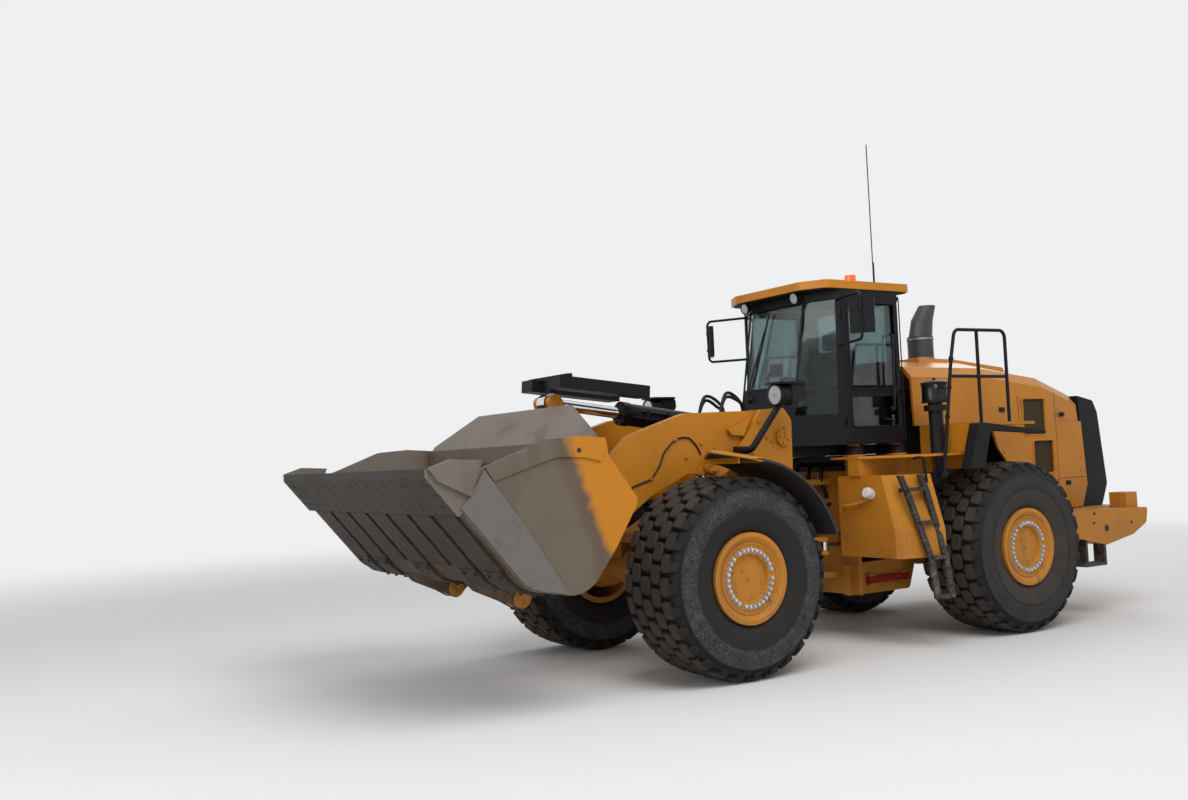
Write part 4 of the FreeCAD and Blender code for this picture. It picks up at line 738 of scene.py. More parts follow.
sharedTyre = tyreMesh()
dustyTyre = sharedTyre.copy()
dustyTyre.materials[0] = materials["rearTyre"]
for label, (x, y, side) in wheelSpots.items():
    data = sharedTyre if x > 0 else dustyTyre
    tyre = makePiece(label + "_tyre_tread", data, "tyre", label + "_wheel", 42.0)
    tyre.location = spot(x, y, tyreSettings["radius"])
    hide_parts(label + "_tyre")
print("tyres made")

# ---- wheel nuts, hub plug and valve ----
hubSettings = {
    "nutCircle": 0.250,
    "nuts": 30,
    "gapsAfter": (4, 14, 24),
    "faceAt": 0.326,
    "discAt": 0.296,
    "valveAt": 0.285,
}


def wheelFittings(label, x, y, side):
    mesh = bmesh.new()
    centre = spot(x, y, tyreSettings["radius"])
    out = Vector((0, side, 0))
    total = hubSettings["nuts"] + 0.7 * len(hubSettings["gapsAfter"])
    turned = 0.0
    for k in range(hubSettings["nuts"]):
        angle = 2 * math.pi * turned / total
        turned += 1.7 if k in hubSettings["gapsAfter"] else 1.0
        around = Vector((math.cos(angle), 0, math.sin(angle)))
        base = centre + out * hubSettings["faceAt"] + around * hubSettings["nutCircle"]
        addTurned(mesh, [(-0.001, 0.0), (-0.001, 0.024), (0.004, 0.024), (0.005, 0.019)], base, out, 14)
        addBolt(mesh, base + out * 0.003, out, 0.0175, 0.020)
        addTurned(mesh, [(0.018, 0.0085), (0.030, 0.0085), (0.032, 0.0065), (0.032, 0.0)], base, out, 10)
    makePiece(label + "_wheel_nuts", mesh, "nut", label + "_wheel", 30.0)
    mesh = bmesh.new()
    for angle in (0.35, 1.4, 2.4, 3.5, 4.5, 5.6):
        around = Vector((math.cos(angle), 0, math.sin(angle)))
        addBolt(mesh, centre + out * hubSettings["discAt"] + around * 0.168, out, 0.008, 0.008)
    for angle, reach in ((0.9, 0.09), (0.2, 0.0)):
        around = Vector((math.cos(angle), 0, math.sin(angle)))
        plug = centre + out * hubSettings["discAt"] + around * reach
        addTurned(mesh, [(-0.001, 0.0), (-0.001, 0.02), (0.008, 0.02), (0.011, 0.016), (0.011, 0.009), (0.004, 0.008), (0.004, 0.0)], plug, out, 20)
    makePiece(label + "_hub_plugs", mesh, "yellow", label + "_wheel", 30.0)
    mesh = bmesh.new()
    around = Vector((math.cos(3.9), 0, math.sin(3.9)))
    foot = centre + out * hubSettings["faceAt"] + around * hubSettings["valveAt"]
    addTube(mesh, roundedPath([foot, foot + out * 0.022, foot + out * 0.03 + around * 0.012], 0.008), 0.006, 10)
    addTurned(mesh, [(0.0, 0.0), (0.0, 0.008), (0.014, 0.008), (0.016, 0.0)], foot + out * 0.03 + around * 0.012, around, 10)
    makePiece(label + "_valve", mesh, "steel", label + "_wheel", 30.0)


for label, (x, y, side) in wheelSpots.items():
    wheelFittings(label, x, y, side)
print("wheel fittings made")


# ---- shared fittings ----
def addCap(mesh, centre, axis, radius, bolts=3, thick=0.016):
    # a pin's end plate, held by a ring of bolts
    axis, side, other = axisFrame(axis)
    addTurned(mesh, [(0.0, 0.0), (0.0, radius), (thick * 0.8, radius), (thick, radius * 0.94), (thick, radius * 0.3),
                     (thick * 0.6, radius * 0.26), (thick * 0.6, 0.0)], centre, axis, 36)
    for k in range(bolts):
        around = side * math.cos(2 * math.pi * k / bolts + 0.5) + other * math.sin(2 * math.pi * k / bolts + 0.5)
        addBolt(mesh, centre + axis * thick + around * radius * 0.64, axis, 0.011, 0.012)


def addLoop(mesh, corners, bend, radius, sides=8):
    # a closed seal round a pane
    corners = [Vector(p) for p in corners]
    start = (corners[0] + corners[1]) / 2
    path = roundedPath([start] + corners[1:] + [corners[0], start], bend)
    addTube(mesh, path, radius, sides)


def addClamp(mesh, point, axis, radius, wide=0.022):
    # a band round a hose or pipe, with its screw
    axis, side, other = axisFrame(axis)
    addTurned(mesh, [(-wide / 2, radius * 0.9), (-wide / 2, radius * 1.35), (wide / 2, radius * 1.35), (wide / 2, radius * 0.9),
                     (-wide / 2, radius * 0.9)], Vector(point), axis, 14)
    addBolt(mesh, Vector(point) + side * radius * 1.3, side, 0.006, 0.007)


def cushionMesh(low, high, puff=0.4, cuts=7):
    # a block pulled part of the way towards a ball, so that its faces swell and its edges turn softly
    mesh = bmesh.new()
    bmesh.ops.create_cube(mesh, size=2.0)
    bmesh.ops.subdivide_edges(mesh, edges=mesh.edges[:], cuts=cuts, use_grid_fill=True)
    for v in mesh.verts:
        x, y, z = v.co
        ball = Vector((x * math.sqrt(max(0, 1 - y * y / 2 - z * z / 2 + y * y * z * z / 3)),
                       y * math.sqrt(max(0, 1 - z * z / 2 - x * x / 2 + z * z * x * x / 3)),
                       z * math.sqrt(max(0, 1 - x * x / 2 - y * y / 2 + x * x * y * y / 3))))
        soft = v.co.lerp(ball, puff)
        v.co = (low + high) / 2 + Vector(soft[k] * (high - low)[k] / 2 for k in range(3))
    return mesh


def bothSides(build):
    # runs a builder for the left side and for the right
    for side, label in ((1, "left"), (-1, "right")):
        build(side, label)


# ---- bucket: bolts, seams and wear plates ----
bucketShape = {
    "halfWidth": 1723.5,
    "underside": -283.0,
    "boltRows": (1345.0, 1560.0),
    "boltPitch": 383.0,
    "endBolts": (1600.0, 1680.0),
    "wearPlates": (-1400, -930, -465, 0, 465, 930, 1400),
    "heelPlates": (-1400, -955, 0, 955, 1400),
}


def bucketSpot(x, y, z):
    # a point of the level bucket, where the racked bucket holds it
    angle = math.radians(bucketSettings["rack"])
    return spot(bucketSettings["hinge"][0] + x * math.cos(angle) - z * math.sin(angle), y,
                bucketSettings["hinge"][1] + x * math.sin(angle) + z * math.cos(angle))


def bucketWay(x, z):
    return (bucketSpot(x, 0, z) - bucketSpot(0, 0, 0)).normalized()


def addBucketPlate(mesh, outline, y, thickness, bevel=0.003):
    addPlate(mesh, [bucketSpot(x, y, z) for x, z in outline], Vector((0, thickness, 0)), bevel)


def bucketFittings():
    shape = bucketShape
    down, up = bucketWay(0, -1), bucketWay(0, 1)
    heads, nuts = bmesh.new(), bmesh.new()
    spots = [(x, (k - 4) * shape["boltPitch"]) for x in shape["boltRows"] for k in range(9)]
    spots += [(x, side * y) for x in (1345.0, 1452.0, 1560.0) for y in shape["endBolts"] for side in (-1, 1)]
    for x, y in spots:
        point = bucketSpot(x, y, shape["underside"])
        addTurned(heads, [(0.0, 0.0), (0.0, 0.019), (0.003, 0.018), (0.003, 0.011), (0.0008, 0.009), (0.0008, 0.0)], point, down, 14)
        if abs(y) < 1590:
            addBolt(nuts, bucketSpot(x, y, -207), up, 0.021, 0.034)
    makePiece("edge_bolt_heads", heads, "dark", "bucket_body")
    makePiece("edge_bolt_nuts", nuts, "steel", "bucket_body")
    seams = bmesh.new()
    for k in range(-4, 4):
        y = (k + 0.5) * shape["boltPitch"]
        corners = [bucketSpot(x, y + dy, shape["underside"]) for x, dy in ((1252, -3), (1638, -3), (1638, 3), (1252, 3))]
        addPlate(seams, corners, down * 0.0012, 0)
    for middle in shape["wearPlates"]:
        for y in (middle - 62, middle + 62):
            corners = [bucketSpot(x, y + dy, -266) for x, dy in ((760, -6), (1130, -6), (1130, 6), (760, 6))]
            addPlate(seams, corners, down * 0.0012, 0)
    makePiece("edge_seams", seams, "dark", "bucket_body")
    heel = bmesh.new()
    for middle in shape["heelPlates"]:
        outline = [(634, -243), (530, -243), (412, -218), (336, -171), (250, -99), (233, -118), (319, -191), (398, -241),
                   (527, -268), (634, -268)]
        addBucketPlate(heel, outline, middle - 165, 0.330, 0.004)
        for x, z, way in ((585, -268, down), (276, -155, bucketWay(-0.65, -0.76))):
            for y in (middle - 105, middle + 105):
                addBolt(heel, bucketSpot(x, y, z), way, 0.016, 0.016)
    makePiece("heel_plates", heel, "edge", "bucket_body")
    for side, label in ((1, "left"), (-1, "right")):
        outer = side * shape["halfWidth"]
        plates = bmesh.new()
        strip = [(1380, 112), (1196, 636), (1008, 896), (838, 1072), (775, 1030), (716, 918), (846, 820), (1010, 640), (1090, 470),
                 (1245, 100)]
        addBucketPlate(plates, strip, outer, side * 0.014, 0.004)
        makePiece(label + "_bucket_side_strip", plates, "bucket", "bucket_body")
        plates = bmesh.new()
        wear = [(1375, 104), (1220, 96), (700, 60), (198, 4), (172, -20), (340, -160), (412, -206), (480, -230), (530, -236),
                (1290, -236), (1300, -120)]
        addBucketPlate(plates, wear, outer, side * 0.011, 0.004)
        makePiece(label + "_bucket_side_plates", plates, "plate", "bucket_body")
        fittings = bmesh.new()
        for x, z in ((1452, 28), (1560, -112)):
            point = bucketSpot(x, side * 1753.5, z)
            out = Vector((0, -side, 0))
            addTurned(fittings, [(-0.004, 0.0), (-0.004, 0.030), (0.0, 0.034), (0.0005, 0.034), (0.0005, 0.0)], point, -out, 28)
            addTurned(fittings, [(0.0, 0.0), (0.0, 0.042), (0.03, 0.042), (0.03, 0.0)], bucketSpot(x, side * 1683.5, z), out, 28)
        makePiece(label + "_cutter_bolts", fittings, "plate", "bucket_body")
        # a near-black disc on the side plate, painted as the shade inside the lifting hole
        hole = bmesh.new()
        addTurned(hole, [(0.0, 0.0), (0.0, 0.021), (0.0012, 0.021), (0.0012, 0.0)], bucketSpot(925, outer + side * 14, 820),
                  Vector((0, side, 0)), 20)
        makePiece(label + "_bucket_lifting_hole", hole, "dark", "bucket_body")
        caps = bmesh.new()
        addCap(caps, spot(3758, side * 757, 850), Vector((0, side, 0)), 0.082, 3)
        addCap(caps, spot(3758, side * 549, 850), Vector((0, -side, 0)), 0.078, 3)
        makePiece(label + "_hinge_pin_caps", caps, "yellow", "bucket_body")
    print("bucket fittings made")


bucketFittings()


# ---- lift arms and towers ----
armSettings = {
    "faceY": 700.0,
    "lineRadius": 0.008,
    "line": ((1735, 2019), (1777, 2094), (1852, 2169), (1930, 2185), (2028, 2164), (2126, 2086), (2173, 2033), (2223, 1927),
             (2328, 1810), (2427, 1776), (2620, 1700), (2900, 1480), (3200, 1230), (3480, 1010)),
    "clamps": ((2028, 2164, 0), (2328, 1810, 0), (2900, 1480, 0)),
    "armBolts": ((1718, 2120), (1903, 1992)),
    "towerBolts": ((1039, 2321), (866, 2120), (697, 2250), (938, 2163), (1120, 2000), (900, 1760), (1080, 1800)),
    "wedge": ((1122, 2353), (1413, 2249), (1373, 2192), (1218, 2180)),
}


def armFittings(side, label):
    out = Vector((0, side, 0))
    face = armSettings["faceY"]
    line = bmesh.new()
    path = smoothPath([spot(x, side * (face + 9), z) for x, z in armSettings["line"]], 6)
    addTube(line, path, armSettings["lineRadius"], 10)
    makePiece(label + "_arm_grease_line", line, "hose", "lift_arms_body")
    bolts = bmesh.new()
    for x, z, _ in armSettings["clamps"]:
        addBlock(bolts, spot(x - 16, side * face - 1, z - 12), spot(x + 16, side * face + 20 * side, z + 12), 0.003)
        addBolt(bolts, spot(x, side * (face + 20), z), out, 0.008, 0.008)
    for x, z in armSettings["armBolts"]:
        addBolt(bolts, spot(x, side * face, z), out, 0.015, 0.018)
    addCap(bolts, spot(1624, side * 730, 1901), out, 0.072, 3)
    makePiece(label + "_arm_bolts", bolts, "yellow", "lift_arms_body")
    tower = bmesh.new()
    for x, z in armSettings["towerBolts"]:
        addBolt(tower, spot(x, side * 748, z), out, 0.015, 0.018)
    addCap(tower, spot(740, side * 768, 2150), out, 0.080, 4, 0.02)
    addPlate(tower, [spot(x, side * 712, z) for x, z in armSettings["wedge"]], out * 0.036, 0.004)
    makePiece(label + "_tower_fittings", tower, "yellow", "front_frame_body")


bothSides(armFittings)


# ---- cylinders: pipes, ports and gland bolts ----
cylinderSettings = {
    # body, base point, eye point, distance across, barrel radius, gland distance, pipe side, pipe start
    "tilt": ("tilt_barrel_body", (850, 2284), (2985, 2565), 0, 112, 1345, (0.0, 1.0), 330),
    "left_lift": ("left_lift_barrel_body", (820, 690), (1624, 1901), 450, 94, 1205, (-1.0, 0.0), 200),
    "right_lift": ("right_lift_barrel_body", (820, 690), (1624, 1901), -450, 94, 1205, (-1.0, 0.0), 200),
}


def cylinderFittings(label, body, base, eye, y, radius, gland, pipeSide, pipeStart):
    along = (spot(eye[0], 0, eye[1]) - spot(base[0], 0, base[1])).normalized()
    rise = Vector((-along.z, 0, along.x))
    foot = spot(base[0], y, base[1])
    bolts = bmesh.new()
    for k in range(8):
        angle = 2 * math.pi * (k + 0.5) / 8
        around = rise * math.cos(angle) + Vector((0, math.sin(angle), 0))
        addBolt(bolts, foot + along * gland / 1000 + around * radius * 0.86 / 1000, along, 0.011, 0.012)
    makePiece(label + "_gland_bolts", bolts, "dark", body)
    pipes = bmesh.new()
    inner = (rise * pipeSide[0] + Vector((0, 1, 0)) * pipeSide[1]).normalized()
    across = inner.cross(along)
    for offset in (-0.034, 0.034):
        def point(distance, lift):
            return foot + along * distance / 1000 + inner * (radius / 1000 + lift) + across * offset
        end = gland - 130 if offset > 0 else gland - 230
        path = roundedPath([point(pipeStart, -0.004), point(pipeStart + 30, 0.018), point(end, 0.018), point(end + 30, -0.004)], 0.03)
        addTube(pipes, path, 0.0115, 10)
    for distance in (pipeStart + 220, (pipeStart + gland) / 2, gland - 260):
        middle = foot + along * distance / 1000 + inner * (radius / 1000 + 0.008)
        frameTurn = Matrix((along, across, inner)).transposed().to_4x4()
        addBlock(pipes, middle - Vector((0.018, 0.056, 0.016)), middle + Vector((0.018, 0.056, 0.016)), 0.003, frameTurn)
    makePiece(label + "_pipes", pipes, "black", body)


for label, row in cylinderSettings.items():
    cylinderFittings(label, *row)


def hoseLoops():
    # hoses that rise behind the tilt cylinder and turn back down into the front frame
    hoses = bmesh.new()
    for y, top, reach in ((175, 2640, 0), (215, 2600, 30), (-175, 2630, 10), (-215, 2590, -20)):
        path = smoothPath([spot(1060 + reach, y, 2200), spot(1050 + reach, y, 2420), spot(960 + reach, y * 0.98, top),
                           spot(800, y * 0.95, top - 60), spot(730, y * 0.9, 2420), spot(720, y * 0.9, 1900)], 9)
        addTube(hoses, path, 0.017, 10)
    makePiece("tilt_hose_loops", hoses, "hose", "front_frame_body")
    for label, side in (("left", 1), ("right", -1)):
        # bent across the hitch
        crossing = bmesh.new()
        for k, (y, z) in enumerate(((95, 1330), (150, 1390), (205, 1300), (240, 1440))):
            sway = 18 * (k % 2)
            path = smoothPath([spot(-395, side * y, z), spot(-200, side * (y + 10), z - 25 - sway), spot(0, side * (y + 16), z - 60 - sway),
                               spot(170, side * (y + 8), z - 30 - sway), spot(330, side * y, z)], 9)
            addTube(crossing, path, 0.019, 10)
        piece = bpy.data.objects.new(label + "_hitch_hoses", bpy.data.meshes.new(label + "_hitch_hoses"))
        bmesh.ops.recalc_face_normals(crossing, faces=crossing.faces)
        crossing.to_mesh(piece.data)
        crossing.free()
        for polygon in piece.data.polygons:
            polygon.use_smooth = True
        piece.data.materials.append(materials["hose"])
        scene.collection.objects.link(piece)
        spot(-260, 0, 1350)
        spot(240, 0, 1350)
        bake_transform(piece)


hoseLoops()
print("arm, cylinder and hose fittings made")


# ---- cab: seals, wiper, lamps, rails and mirrors ----
cabSettings = {
    "sealRadius": 0.010,
    "doorFace": 781.0,
    "roofLamps": (-405.0, 405.0),
    "rearLamps": (-560.0, 560.0),
    "wiperOffset": 0.022,
}


def noseX(z):
    # how far forward the windscreen stands at a height
    return 330 - 285 * (z - 2060) / 1640


def cabSeals():
    body, door = bmesh.new(), bmesh.new()
    radius = cabSettings["sealRadius"]
    for z0, z1 in ((2640, 3560), (2240, 2570)):
        corners = [spot(x, cabSettings["doorFace"] - 1, z) for x, z in ((-920, z0), (-225, z0), (-225, z1), (-920, z1))]
        addLoop(door, corners, 0.06, radius)
    edge = [(-1000, 2090), (-145, 2090), (-145, 3640), (-1000, 3640)]
    addLoop(door, [spot(x, cabSettings["doorFace"] - 5, z) for x, z in edge], 0.03, 0.007)
    makePiece("door_seals", door, "seal", "cab_door_body")
    corners = [spot(x, -cabSettings["doorFace"] + 1, z) for x, z in ((-930, 2540), (-200, 2540), (-200, 3590), (-930, 3590))]
    addLoop(body, corners, 0.06, radius)
    corners = [spot(-1060, y, z) for y, z in ((-560, 2640), (560, 2640), (560, 3590), (-560, 3590))]
    addLoop(body, corners, 0.06, radius)
    for side in (-1, 1):
        addTube(body, [spot(noseX(z) - 3, side * 432, z) for z in (2390, 2700, 3000, 3300, 3590)], 0.009, 8)
    corners = [spot(noseX(z) - 2, y, z) for y, z in ((-420, 2703), (420, 2703), (420, 3588), (-420, 3588))]
    addLoop(body, corners, 0.03, 0.007)
    makePiece("pane_seals", body, "seal", "rear_frame_body")


cabSeals()


def wiper():
    mesh = bmesh.new()
    out = Vector((0.985, 0, 0.171))

    def onGlass(y, z, lift):
        return spot(noseX(z), y, z) + out * lift

    foot = onGlass(-300, 2600, 0.004)
    addTurned(mesh, [(-0.01, 0.0), (-0.01, 0.036), (0.02, 0.034), (0.035, 0.022), (0.048, 0.02), (0.05, 0.0)], foot, out, 20)
    middle = onGlass(-185, 3130, 0.034)
    addTube(mesh, smoothPath([foot + out * 0.042, onGlass(-270, 2760, 0.05), middle], 6), 0.009, 10)
    addTube(mesh, smoothPath([foot + out * 0.030, onGlass(-245, 2760, 0.036), onGlass(-172, 3110, 0.026)], 6), 0.006, 8)
    low, high = onGlass(-262, 2735, 0.014), onGlass(-92, 3545, 0.014)
    addTube(mesh, [low, high], 0.008, 6)
    side = (high - low).cross(out).normalized()
    corners = [low - side * 0.004 - out * 0.012, high - side * 0.004 - out * 0.012, high - side * 0.004 + out * 0.004, low - side * 0.004 + out * 0.004]
    addPlate(mesh, corners, side * 0.008, 0)
    addTube(mesh, [low.lerp(high, 0.25) + out * 0.012, middle, low.lerp(high, 0.75) + out * 0.012], 0.007, 8)
    makePiece("windscreen_wiper", mesh, "hose", "rear_frame_body")


wiper()


def addWorkLamp(shell, lens, centre, aim, radius=0.062):
    aim = Vector(aim).normalized()
    addTurned(shell, [(-0.075, 0.0), (-0.075, radius * 0.45), (-0.05, radius * 0.8), (-0.005, radius), (0.008, radius),
                      (0.008, radius * 0.9), (-0.004, radius * 0.88), (-0.03, 0.0)], centre, aim, 28)
    addTurned(lens, [(-0.001, 0.0), (-0.001, radius * 0.87), (0.003, radius * 0.86), (0.007, radius * 0.5), (0.008, 0.0)], centre, aim, 28)


def cabLamps():
    shell, lens = bmesh.new(), bmesh.new()
    for y in cabSettings["roofLamps"]:
        addWorkLamp(shell, lens, spot(170, y, 3628), (1, 0, -0.22))
        addBlock(shell, spot(110, y - 12, 3640), spot(140, y + 12, 3699), 0.003)
    for y in cabSettings["rearLamps"]:
        addWorkLamp(shell, lens, spot(-1150, y, 3640), (-1, 0, -0.25))
        addBlock(shell, spot(-1125, y - 12, 3650), spot(-1095, y + 12, 3699), 0.003)
    makePiece("cab_work_lamps", shell, "plastic", "rear_frame_body")
    makePiece("cab_work_lamp_lenses", lens, "lens", "rear_frame_body")
    roof = bmesh.new()
    plan = [(-1150, -750), (40, -750), (170, -500), (170, 500), (40, 750), (-1150, 750)]
    addPlate(roof, [spot(x, y, 3699.5) for x, y in plan], Vector((0, 0, -0.012)), 0.003)
    makePiece("roof_underside", roof, "seal", "rear_frame_body")
    liner = bmesh.new()
    plan = [(-950, -690), (-160, -690), (-20, -380), (-20, 380), (-160, 690), (-950, 690)]
    addPlate(liner, [spot(x, y, 3686) for x, y in plan], Vector((0, 0, -0.03)), 0.01)
    makePiece("headliner", liner, "headliner", "rear_frame_body")


cabLamps()


def cabRails():
    rail = bmesh.new()
    face = cabSettings["doorFace"]
    addTube(rail, roundedPath([spot(-835, face - 2, 3221), spot(-835, face + 45, 3215), spot(-803, face + 45, 2410),
                               spot(-803, face - 2, 2399)], 0.03), 0.013, 12)
    addTube(rail, roundedPath([spot(-690, face - 2, 2322), spot(-690, face + 32, 2322), spot(-820, face + 32, 2290),
                               spot(-820, face - 2, 2290)], 0.02), 0.009, 10)
    addBlock(rail, spot(-930, face - 1, 2596), spot(-215, face + 5, 2612), 0.002)
    makePiece("door_grab_rail", rail, "plastic", "cab_door_body")
    for side, label in ((1, "left"), (-1, "right")):
        mesh = bmesh.new()
        middle = Vector((19 / 1000, side * 1.229, 0))
        across, through = Vector((0.57, -0.82 * side, 0)) * 0.112, Vector((0.82, 0.57 * side, 0)) * 0.0275
        low, high = spot(0, 0, 3195), spot(0, 0, 3510)
        corners = [low + middle - through - across, low + middle - through + across, high + middle - through + across,
                   high + middle - through - across]
        addPlate(mesh, corners, -through.normalized() * 0.002, 0.0006)
        makePiece(label + "_mirror_face", mesh, "mirror", "rear_frame_body")
        clamps = bmesh.new()
        for z in (3250, 3450):
            addClamp(clamps, spot(45, side * 1245, z), (0, 0, 1), 0.018, 0.03)
        makePiece(label + "_mirror_clamps", clamps, "plastic", "rear_frame_body")


cabRails()


def headLampFittings(side, label):
    centre = spot(1070, side * 1070, 2560)
    ahead = Vector((1, 0, 0))
    shell, glow, lens = bmesh.new(), bmesh.new(), bmesh.new()
    addTurned(shell, [(-0.001, 0.105), (0.022, 0.106), (0.026, 0.100), (0.020, 0.093), (-0.001, 0.091)], centre, ahead, 36)
    # a flat peak that runs back over a boxed housing
    for near, far in ((-128, 128),):
        peak = [(1120, 0), (1085, 1), (800, 1), (745, 0.55), (745, -0.55), (800, -1), (1085, -1)]
        addPlate(shell, [spot(x, side * 1070 + 128 * y, 2662) for x, y in peak], Vector((0, 0, 0.022)), 0.006)
    flank = [(960, 2455), (960, 2664), (760, 2664), (752, 2560), (830, 2490)]
    addPlate(shell, [spot(x, side * 1070 - 98, z) for x, z in flank], Vector((0, 0.196, 0)), 0.014)
    makePiece(label + "_head_lamp_hood", shell, "plastic", "front_frame_body")
    addTurned(glow, [(0.001, 0.0), (0.001, 0.03), (0.010, 0.088), (0.001, 0.090), (0.001, 0.0)], centre, ahead, 32)
    makePiece(label + "_head_lamp_reflector", glow, "mirror", "front_frame_body")
    addTurned(lens, [(0.012, 0.0), (0.012, 0.090), (0.017, 0.089), (0.023, 0.05), (0.025, 0.0)], centre, ahead, 32)
    makePiece(label + "_head_lamp_lens", lens, "lens", "front_frame_body")
    bolts = bmesh.new()
    for x in (1873, 2078, 2277):
        addBolt(bolts, spot(x, side * 1605, 1966 + (x - 1745) * 0.1565), Vector((-0.155, 0, 0.988)), 0.012, 0.012)
    makePiece(label + "_fender_bolts", bolts, "dark", "front_frame_body")


bothSides(headLampFittings)
print("cab and lamp fittings made")


# ---- front fenders: the lip's inner edge runs back at a slant ----
fenderSettings = {
    "axle": (1900.0, 905.0),
    "radii": (1036.0, 1059.0),
    "arc": (94.0, 162.0),
    "across": (845.0, 1638.0),
    "lipPlan": ((1745, 845), (1745, 1638), (2330, 1638), (2330, 1590), (1905, 960), (1850, 845)),
    "lipThickness": 34.0,
}


def frontFender(side, label):
    mesh = bmesh.new()
    x0, z0 = fenderSettings["axle"]
    r0, r1 = fenderSettings["radii"]
    start, end = fenderSettings["arc"]
    near, far = (side * y for y in fenderSettings["across"])
    steps = 28
    rows = []
    for k in range(steps + 1):
        angle = math.radians(start + (end - start) * k / steps)
        rows.append([mesh.verts.new(spot(x0 + r * math.cos(angle), y, z0 + r * math.sin(angle)))
                     for r, y in ((r0, near), (r1, near), (r1 - 6, (near + far) / 2), (r1, far), (r0, far))])
    for row, nextRow in zip(rows, rows[1:]):
        for k in range(5):
            j = (k + 1) % 5
            mesh.faces.new((row[k], row[j], nextRow[j], nextRow[k]))
    mesh.faces.new(rows[0])
    mesh.faces.new(list(reversed(rows[-1])))
    slope = (2058 - 1966) / 588
    corners = [spot(x, side * y, 1932 + (x - 1745) * slope) for x, y in fenderSettings["lipPlan"]]
    addPlate(mesh, corners, Vector((0, 0, fenderSettings["lipThickness"] / 1000)), 0.006)
    addBlock(mesh, spot(1000, side * 748, 1500), spot(1100, side * 860, 1800), 0.006)
    ribs = ((1745, 1760), (1990, 2005))
    for xa, xb in ribs:
        addBlock(mesh, spot(xa, side * 1000, 1922), spot(xb, side * 1600, 1934 + (xb - 1745) * slope), 0.002)
    return makePiece(label + "_front_fender", mesh, "frontFender", "front_frame_body")


fenders = [frontFender(1, "left"), frontFender(-1, "right")]
for fender in fenders:
    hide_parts("front_fenders")


# ---- under the cab: its base, rubber mounts and the tank between the rails ----
def cabBase():
    base, mounts, plates = bmesh.new(), bmesh.new(), bmesh.new()
    addBlock(base, spot(-1010, -560, 1950), spot(-100, 560, 2056), 0.02)
    addBlock(base, spot(-1190, -420, 1760), spot(-430, 420, 1946), 0.02)
    for y in (-200, 0, 200):
        addTube(base, smoothPath([spot(-420, y, 1860), spot(-300, y + 20, 1840), spot(-250, y + 30, 1700), spot(-345, y, 1500)], 7), 0.022, 10)
    makePiece("cab_base", base, "plastic", "rear_frame_body")
    for side in (-1, 1):
        for x in (-330, -960):
            centre = spot(x, side * 660, 1931)
            addTurned(plates, [(0.0, 0.070), (0.0, 0.118), (0.020, 0.118), (0.020, 0.070)], centre, (0, 0, 1), 32)
            addTurned(mounts, [(0.021, 0.070), (0.021, 0.098), (0.034, 0.104), (0.05, 0.096), (0.066, 0.104), (0.082, 0.096),
                               (0.095, 0.102), (0.108, 0.092), (0.108, 0.070)], centre, (0, 0, 1), 32)
    makePiece("cab_mount_plates", plates, "yellow", "rear_frame_body")
    makePiece("cab_mount_rubbers", mounts, "hose", "rear_frame_body")


cabBase()


def ladderHandles(side, label):
    mesh = bmesh.new()
    addTube(mesh, roundedPath([spot(-420, side * 1395, 1890), spot(-420, side * 1440, 1900), spot(-505, side * 1450, 1895),
                               spot(-520, side * 1460, 1640)], 0.05), 0.014, 10)
    for z in (2300, 2600, 2900):
        addClamp(mesh, spot(-780 - 205 * (z - 1700) / 1200, side * 1460, z), (-0.17, 0, 0.985), 0.019, 0.03)
    makePiece(label + "_ladder_handle", mesh, "black", "rear_frame_body")


bothSides(ladderHandles)


# ---- cab interior ----
seatSettings = {
    "cushion": ((-800, -245, 2452), (-330, 245, 2560)),
    "back": ((-748, -225, 2520), (-630, 225, 3110)),
    "headrest": ((-800, -135, 3130), (-690, 135, 3320)),
    "puff": 0.35,
}


def interior():
    for name, fill in (("cushion", 0.85), ("back", 0.85), ("headrest", 0.9)):
        low, high = seatSettings[name]
        mesh = cushionMesh(spot(*low), spot(*high), seatSettings["puff"])
        piece = makePiece("seat_" + name, mesh, "seat", "rear_frame_body", 60.0)
    mesh = bmesh.new()
    for y in (-300, 300):
        addBlock(mesh, spot(-800, y - 40, 2640), spot(-430, y + 40, 2690), 0.02)
        addTube(mesh, roundedPath([spot(-790, y * 0.92, 2560), spot(-790, y, 2665), spot(-700, y, 2665)], 0.04), 0.02, 10)
    addTube(mesh, [spot(-745, 0, 3090), spot(-745, 0, 3160)], 0.012, 10)
    addBlock(mesh, spot(-235, -470, 2860), spot(-205, -270, 3010), 0.008)
    addTube(mesh, roundedPath([spot(-220, -510, 2480), spot(-220, -510, 2900), spot(-220, -440, 2930)], 0.04), 0.014, 10)
    for x in (-420, -520):
        addTube(mesh, [spot(x, -400, 2550), spot(x + 12, -400, 2640)], 0.008, 8)
        addTurned(mesh, [(-0.02, 0.0), (-0.016, 0.016), (0.012, 0.02), (0.026, 0.012), (0.03, 0.0)], spot(x + 14, -400, 2655), (0, 0, 1), 16)
    makePiece("cab_armrests_and_levers", mesh, "plastic", "rear_frame_body")


interior()


# ---- hood, rear end and decks ----
hoodSettings = {
    "face": 700.0,
    "intakes": ((-3480, -3080, 2100, 2520), (-3600, -3240, 1640, 2020)),
    "bolts": ((-2700, 1905), (-2860, 1740), (-3010, 1540), (-3110, 1360), (-4123, 1804), (-4114, 1646), (-3690, 1560), (-3690, 2080)),
    "latches": ((-2700, 2400), (-3800, 2330), (-3850, 1500)),
    "seams": (((-3000, 2240), (-3000, 2560)), ((-3680, 1240), (-3680, 2600)), ((-3680, 1560), (-4190, 1560))),
}


